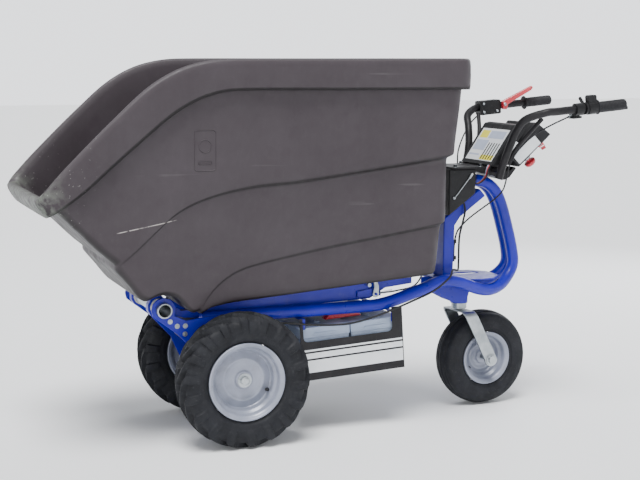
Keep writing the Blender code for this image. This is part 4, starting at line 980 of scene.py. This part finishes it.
def on_slope(low, high):
    """A place on a straight edge from low to high, both (x, z): X up along it, Y out of it."""
    direction = Vector((high[0] - low[0], 0, high[1] - low[1])).normalized()
    out = Vector((-direction.z, 0, direction.x))
    across = direction.cross(out)
    turn = Matrix((direction, out, across)).transposed().to_4x4()
    return Matrix.Translation(spot(low[0], 0, low[1])) @ turn


def printed(name, outline, low, place, material):
    """A thin printed patch on the console or the control box."""
    prism(name, outline, low, low + PRINT_THICKNESS, place, material, "chassis", slot="black_plastic")


def make_console_label():
    """A plain instrument label: a white field with yellow and grey blocks and a row of dark bars."""
    place, lift = on_slope((0.868, 0.792), (0.953, 0.917)), 0.0004
    patches = [
        ("field", 0.013, -0.091, 0.132, 0.091, 0.0001, "label_white"),
        ("block", 0.096, -0.082, 0.124, -0.03, lift, "label_yellow"),
        ("head", 0.096, -0.022, 0.124, 0.08, lift, "label_grey"),
        ("band", 0.05, -0.084, 0.088, -0.004, lift, "label_grey"),
        ("foot", 0.016, 0.0, 0.034, 0.086, lift, "label_yellow"),
        ("line", 0.03, -0.084, 0.036, -0.016, lift, "label_grey"),
    ]
    for bar in range(5):
        across = 0.0055 + bar * 0.0172
        patches.append(("bar_%d" % bar, 0.0185, across, 0.08, across + 0.0062, 0.00075, "black_plastic"))
    for name, low_x, low_z, high_x, high_z, height, material in patches:
        outline = rounded_box(low_x, low_z, high_x, high_z, 0.0008, 2)
        printed("label_" + name, outline, height, place, material)


def make_box_labels():
    """Plain white labels on both sides of the control box and on the near side of the console."""
    box_y, console_y = 0.1001, 0.1102
    outline = [(0.949, 0.818), (0.973, 0.7935), (1.048, 0.859), (1.023, 0.886)]
    strip = [(0.918, 0.816), (0.929, 0.812), (0.961, 0.862), (0.95, 0.869)]
    place = Matrix.Translation(spot(0, 0, 0))
    printed("box_label_near", outline, -box_y - PRINT_THICKNESS, place, "label_white")
    printed("box_label_far", outline, box_y, place, "label_white")
    printed("console_tag", strip, -console_y - PRINT_THICKNESS, place, "label_white")


def panel_place(along, across):
    """Place on the rear panel of the control box: Y points out of it, X along its slope."""
    direction = (PANEL_HIGH - PANEL_LOW).normalized()
    out = Vector((direction.z, 0, -direction.x))
    place = PANEL_LOW + direction * along
    turn = Vector((0, 1, 0)).rotation_difference(out).to_matrix().to_4x4()
    return Matrix.Translation(spot(place.x, across, place.z)) @ turn


def make_stop_button():
    """Red mushroom head with a rounded rim and its silver collar."""
    place = panel_place(0.058, -0.048)
    head = [(0.008, 0.0065), (0.008, 0.0295), (0.012, 0.031), (0.0178, 0.0316), (0.0196, 0.033)]
    head += [(0.02, 0.0355), (0.0196, 0.0385), (0.018, 0.0425), (0.015, 0.0455), (0.0105, 0.0474)]
    head += [(0.005, 0.048)]
    turned("mushroom_head", head, place, "red_plastic", "stop_button", 64, stands_for="estop_button",
           angle=50)
    mark = [(0.0105, -0.0028), (0.0105, 0.0028), (0.0145, 0.0)]
    for arrow in range(3):
        turn = place @ Matrix.Rotation(TAU * arrow / 3, 4, "Y")
        prism("turn_mark_%d" % arrow, mark, 0.0456, 0.0467, turn, "label_white", "stop_button",
              slot="red_plastic")
    collar = [(0.0086, 0.0003), (0.015, 0.0003), (0.015, 0.005), (0.014, 0.0066), (0.0124, 0.008)]
    collar += [(0.0124, 0.0206), (0.0112, 0.022), (0.0086, 0.022)]
    turned("silver_collar", collar, place, "zinc_plate", "chassis", 56, True, stands_for="estop_collar")


def make_key():
    """Silver blade with a pale red bow, a ring over it and a red tag."""
    place = panel_place(0.14, -0.005)
    bow = rounded_box(-0.0105, -0.0028, 0.0105, 0.0028, 0.0022)
    bevel(prism("key_bow", bow, 0.0265, 0.0455, place, "pale_red", "ignition_key", slot="red_plastic",
                stands_for="key"), 0.0018, 3)
    blade = rounded_box(-0.0045, -0.0011, 0.0045, 0.0011, 0.0009)
    bevel(prism("key_blade", blade, 0.0104, 0.03, place, "zinc_plate", "ignition_key"), 0.0003, 2)
    ring_place = place @ Matrix.Translation((0.0, 0.0475, 0.0)) @ Matrix.Rotation(0.3, 4, "X") @ UP
    ring = arc(0.001, 0, 360, 12, (0.0088, 0.0))[:-1]
    turned("key_ring", ring, ring_place, "zinc_plate", "ignition_key", 48, True)
    tag = rounded_box(-0.008, -0.0016, 0.008, 0.0016, 0.0014)
    bevel(prism("key_tag", tag, 0.049, 0.0595, place, "red_plastic", "ignition_key"), 0.001, 2)


def bar_place(side):
    """Frame of a straight bar end: X runs along the bar towards its tip."""
    x, y, z = BAR_START
    return Matrix.Translation(spot(x, side * y, z)) @ Matrix.Rotation(-BAR_TILT, 4, "Y")


LENGTHWAYS = Matrix.Rotation(math.radians(-90), 4, "Z")


def make_handlebars():
    """Two bent tubes with braces and ribbed rubber grips."""
    bar_radius, brace_radius, bore, start, pitch = 0.0125, 0.007, 0.0128, 0.182, 0.0052
    tip = Matrix.Rotation(-BAR_TILT, 4, "Y") @ Vector((BAR_LENGTH, 0, 0))
    x, y, z = BAR_START
    stops = [(0.885, 0.126, 0.75), (0.897, 0.127, 0.79), (0.912, 0.141, 0.848), (0.922, 0.165, 0.9)]
    stops += [(0.936, 0.2, 0.939)]
    stops += [(x + tip.x * t, y, z + tip.z * t) for t in (0, 0.14, 0.35, 0.6, 1)]
    brace = [(0.918, 0.122, 0.796), (0.94, 0.132, 0.842), (0.964, 0.168, 0.892), (0.984, 0.216, 0.941)]
    grip = [(bore, start), (0.0215, start), (0.0228, start + 0.001), (0.0228, start + 0.003)]
    grip += [(0.0205, start + 0.0046), (0.0172, start + 0.0062)]
    rib_section = ((0.015, 0), (0.0163, 0.001), (0.0165, 0.002), (0.0163, 0.003), (0.015, 0.004))
    for rib in range(17):
        grip += [(radius, start + 0.0085 + rib * pitch + along) for radius, along in rib_section]
    grip += [(0.016, BAR_LENGTH - 0.0045), (0.0152, BAR_LENGTH - 0.0022), (bore, BAR_LENGTH - 0.002)]
    for label, side in SIDES:
        tube("bent_bar_" + label, mirrored(stops, side), bar_radius, "black_powder_coat", 0.008,
             stands_for="handlebar_" + label)
        tube("bent_brace_" + label, mirrored(brace, side), brace_radius, "black_powder_coat", 0.008,
             stands_for="handle_brace_" + label)
        turned("ribbed_grip_" + label, grip, bar_place(side) @ LENGTHWAYS, "grip_rubber", "chassis", 56,
               True, stands_for="grip_" + label, angle=60)


def make_bar_controls():
    """Clamp screws, lever pivots and the cable adjuster."""
    near, far = bar_place(-1), bar_place(1)
    steps = 28
    screw = [(0.0045, -0.001), (0.0045, 0.001), (0.0036, 0.0021), (0.0015, 0.0024)]
    for number, (x, z) in enumerate(((0.02, -0.016), (0.07, -0.016), (0.02, 0.012))):
        place = far @ Matrix.Translation((x, -0.0201, z)) @ facing(-1)
        turned("housing_screw_%d" % number, screw, place, "zinc_plate", "chassis", steps)
    place = far @ Matrix.Translation((0.094, -0.0326, 0.004)) @ facing(-1)
    pin = [(0.0055, 0.0), (0.0055, 0.0018), (0.0042, 0.003)]
    turned("release_pin", pin, place, "zinc_plate", "release", steps)
    place = near @ Matrix.Translation((0.118, 0.034, -0.0128)) @ UP
    pin = [(0.0052, -0.001), (0.0052, 0.0016), (0.004, 0.0026)]
    turned("brake_pin", pin, place, "zinc_plate", "chassis", steps)
    adjuster = [(0.004, -0.004), (0.004, 0.006), (0.0052, 0.0065), (0.0052, 0.013), (0.004, 0.0135)]
    adjuster += [(0.004, 0.02)]
    start = spot(1.0885, -0.2055, 0.9472)
    line = along_line(start, start + Vector((0.03, 0.001, 0.0085)))
    turned("cable_adjuster", adjuster, line, "zinc_plate", "chassis", 32)


def make_cables():
    """Motor cable under the near rail, brake cable and tub release cable, in their full round."""
    motor = [(0.8, -0.05, 0.675), (0.806, -0.051, 0.645), (0.798, -0.052, 0.61), (0.786, -0.052, 0.56)]
    motor += [(0.782, -0.056, 0.48), (0.768, -0.08, 0.46), (0.735, -0.112, 0.466), (0.7, -0.16, 0.45)]
    motor += [(0.64, -0.178, 0.416), (0.561, -0.185, 0.388), (0.476, -0.187, 0.36), (0.41, -0.187, 0.342)]
    motor += [(0.344, -0.187, 0.332), (0.263, -0.187, 0.334), (0.19, -0.187, 0.342), (0.155, -0.177, 0.345)]
    motor += [(0.12, -0.165, 0.345), (0.07, -0.15, 0.335), (0.02, -0.126, 0.322), (-0.04, -0.1245, 0.3105)]
    tube("power_cable", motor, 0.0032, "grip_rubber", 0.008, stands_for="motor_cable")
    brake = [(1.086, -0.206, 0.9465), (1.055, -0.212, 0.936), (1.01, -0.215, 0.918), (0.968, -0.212, 0.896)]
    brake += [(0.938, -0.198, 0.868), (0.917, -0.18, 0.836), (0.903, -0.162, 0.795), (0.9, -0.15, 0.755)]
    brake += [(0.903, -0.122, 0.715), (0.893, -0.09, 0.685), (0.866, -0.062, 0.655), (0.832, -0.054, 0.63)]
    brake += [(0.806, -0.046, 0.606), (0.786, -0.034, 0.575), (0.779, -0.03, 0.53), (0.778, -0.03, 0.48)]
    tube("brake_sheath", brake, 0.0025, "grip_rubber", 0.007, stands_for="brake_cable")
    release = [(0.99, 0.236, 0.934), (0.96, 0.225, 0.91), (0.915, 0.19, 0.868), (0.872, 0.14, 0.82)]
    release += [(0.85, 0.1, 0.77), (0.836, 0.092, 0.72), (0.8, 0.088, 0.64), (0.75, 0.07, 0.56)]
    release += [(0.712, 0.05, 0.49), (0.68, 0.0, 0.44), (0.62, -0.07, 0.416), (0.54, -0.124, 0.414)]
    release += [(0.5, -0.1325, 0.412), (0.4765, -0.1325, 0.411)]
    tube("release_sheath", release, 0.0025, "grip_rubber", 0.007, stands_for="release_cable")


def make_cable_clips():
    """Clips that hold the brake cable's end on the rear face of the column."""
    clip, half = rounded_box(-0.0065, -0.005, 0.0065, 0.005, 0.0025), 0.006
    for number, z in enumerate((0.545, 0.492)):
        place = Matrix.Translation(spot(0.7785, -0.03, z)) @ UP
        piece = prism("cable_clip_%d" % number, clip, -half, half, place, "black_plastic", "chassis")
        bevel(piece, 0.0008, 2)


def make_wires():
    """Red and grey leads that run from the controller up behind the console."""
    leads = (("red_plastic", -0.06), ("grip_rubber", -0.0665), ("label_grey", -0.053))
    for number, (material, y) in enumerate(leads):
        stops = [(0.829, y, 0.735), (0.842, y, 0.731), (0.86, y - 0.004, 0.742)]
        stops += [(0.8655, y - 0.018, 0.76), (0.864, y - 0.03, 0.78), (0.8705, y - 0.03, 0.7915)]
        tube("lead_%d" % number, stops, 0.0022, material, 0.004, slot="grip_rubber")


def make_controller_fittings():
    """Bright bolts on the controller's cover, and the thin rod with its barrel on the near side."""
    for number, (x, y) in enumerate(((0.76, -0.07), (0.76, 0.07), (0.848, -0.07), (0.848, 0.07))):
        place = Matrix.Translation(spot(x, y, 0.7871)) @ UP
        hex_bolt("cover_bolt_%d" % number, place, 0.0086, 0.0082, "chassis")
    top, foot = spot(0.812, -0.084, 0.763), spot(0.752, -0.084, 0.69)
    length = (foot - top).length
    profile = [(0.0016, -0.006), (0.003, -0.005), (0.0036, -0.003), (0.0036, 0.013), (0.003, 0.015)]
    profile += [(0.0015, 0.016), (0.0015, length), (0.001, length + 0.001)]
    turned("governor_rod", profile, along_line(top, foot), "zinc_plate", "chassis", 24)
    screw = [(0.0042, -0.001), (0.0042, 0.0038), (0.0034, 0.0046)]
    for number, at in enumerate((top, foot)):
        place = Matrix.Translation(at + Vector((0, 0.0042, 0))) @ facing(-1)
        turned("rod_screw_%d" % number, screw, place, "zinc_plate", "chassis", 24)


def make_latch_spring():
    """The coil spring that pulls the hook back over its striker."""
    start, end = spot(0.474, -0.142, 0.413), spot(0.515, -0.142, 0.42)
    turns, radius, wire_radius = 11, 0.0032, 0.0006
    line, length, steps = along_line(start, end), (end - start).length, turns * 14
    coil = []
    for step in range(steps + 1):
        angle = TAU * turns * step / steps
        place = Vector((radius * math.cos(angle), length * step / steps, radius * math.sin(angle)))
        coil.append(line @ place)
    wire("latch_spring", coil, wire_radius, 3, "zinc_plate")


# Carried-over nodes, stage, light and camera

def dress_nodes():
    """Give each CAD node the finish of its slot, apart from the controller's dark plate."""
    finishes = {entry["node"]: entry["material_slot"] for entry in frame["record"]["subparts"]}
    finishes["controller_plate"] = "black_powder_coat"
    for name, node in NODES.items():
        node.data.materials.clear()
        node.data.materials.append(SURFACES[finishes[name]])
        edge = node.modifiers.new("soft_edges", "BEVEL")
        edge.width = 0.0006
        edge.segments = 2
        edge.limit_method = "ANGLE"
        edge.angle_limit = math.radians(40)
        edge.harden_normals = True


def make_stage():
    """A pale floor, and a pale surround that is brightest just above the horizon."""
    material = bpy.data.materials.new("stage_grey")
    material.use_nodes = True
    shader = material.node_tree.nodes["Principled BSDF"]
    shader.inputs["Base Color"].default_value = (0.93, 0.94, 0.95, 1)
    shader.inputs["Roughness"].default_value = 0.75
    floor_size = 60
    bpy.ops.mesh.primitive_plane_add(size=floor_size, location=(0, 0, 0))
    floor = bpy.context.object
    floor.name = "floor"
    floor.data.materials.append(material)
    world = bpy.data.worlds.new("studio")
    bpy.context.scene.world = world
    world.use_nodes = True
    sky = world.node_tree.nodes["Background"]
    sky.inputs["Color"].default_value = (0.94, 0.96, 1.0, 1)
    nodes, links = world.node_tree.nodes, world.node_tree.links
    place = nodes.new("ShaderNodeTexCoord")
    height = nodes.new("ShaderNodeSeparateXYZ")
    links.new(place.outputs["Generated"], height.inputs[0])
    band = nodes.new("ShaderNodeMapRange")
    links.new(height.outputs["Z"], band.inputs["Value"])
    for socket, value in (("From Min", 0.05), ("From Max", 0.35), ("To Min", 2.1), ("To Max", 0.5)):
        band.inputs[socket].default_value = value
    links.new(band.outputs["Result"], sky.inputs["Strength"])


def area_light(name, place, target, size, watts, colour):
    """A soft square light that looks at a target."""
    lamp = bpy.data.lights.new(name, "AREA")
    lamp.size = size
    lamp.energy = watts
    lamp.color = colour
    holder = bpy.data.objects.new(name, lamp)
    bpy.context.scene.collection.objects.link(holder)
    holder.location = place
    holder.rotation_euler = (Vector(target) - Vector(place)).to_track_quat("-Z", "Y").to_euler()


def make_lights():
    """A broad even light from high on the near side, a front fill and a soft light from behind."""
    sun_direction = Vector((0.35, 0.55, -1.6))
    sun = bpy.data.lights.new("overhead", "SUN")
    sun.energy = 4.6
    sun.angle = math.radians(28)
    holder = bpy.data.objects.new("overhead", sun)
    bpy.context.scene.collection.objects.link(holder)
    holder.rotation_euler = sun_direction.to_track_quat("-Z", "Y").to_euler()
    area_light("front", (-2.6, -4.2, 2.2), (0, 0, 0.5), 1.6, 30, (1, 0.99, 0.97))
    area_light("rear", (2.8, 2.4, 2.0), (0.2, 0, 0.6), 2.0, 45, (0.95, 0.97, 1))


def make_camera():
    """The photograph's view: a long lens from the near front quarter, a little above the rim."""
    look_down, look_right, lens, sensor = 7.354, 20.614, 79.6, 36
    camera = bpy.data.objects.new("camera", bpy.data.cameras.new("camera"))
    bpy.context.scene.collection.objects.link(camera)
    camera.location = spot(-1.2128, -4.0995, 1.1314)
    camera.rotation_euler = (math.radians(90 - look_down), 0, math.radians(-look_right))
    camera.data.lens = lens
    camera.data.sensor_width = sensor
    bpy.context.scene.camera = camera


FORK_PLACE = Matrix.Translation(spot(CASTER_PIVOT_X, 0, 0)) @ Matrix.Rotation(CASTER_YAW, 4, "Z")
CASTER_PLACE = FORK_PLACE @ Matrix.Translation((CASTER_TRAIL, 0, CASTER_RADIUS))
SURFACES = make_surfaces()
make_camera()
make_stage()
make_lights()
dress_nodes()
make_drive_tyres()
make_caster_tyre()
make_rims()
TUB = make_tub()
make_tub_mark(TUB)
make_frame_tubes()
make_bracket_bolts()
make_tipping_tube()
make_fork()
make_motor_fins()
make_tray_stripes()
make_batteries()
make_console_label()
make_box_labels()
make_stop_button()
make_key()
make_handlebars()
make_bar_controls()
make_cables()
make_cable_clips()
make_wires()
make_controller_fittings()
make_latch_spring()
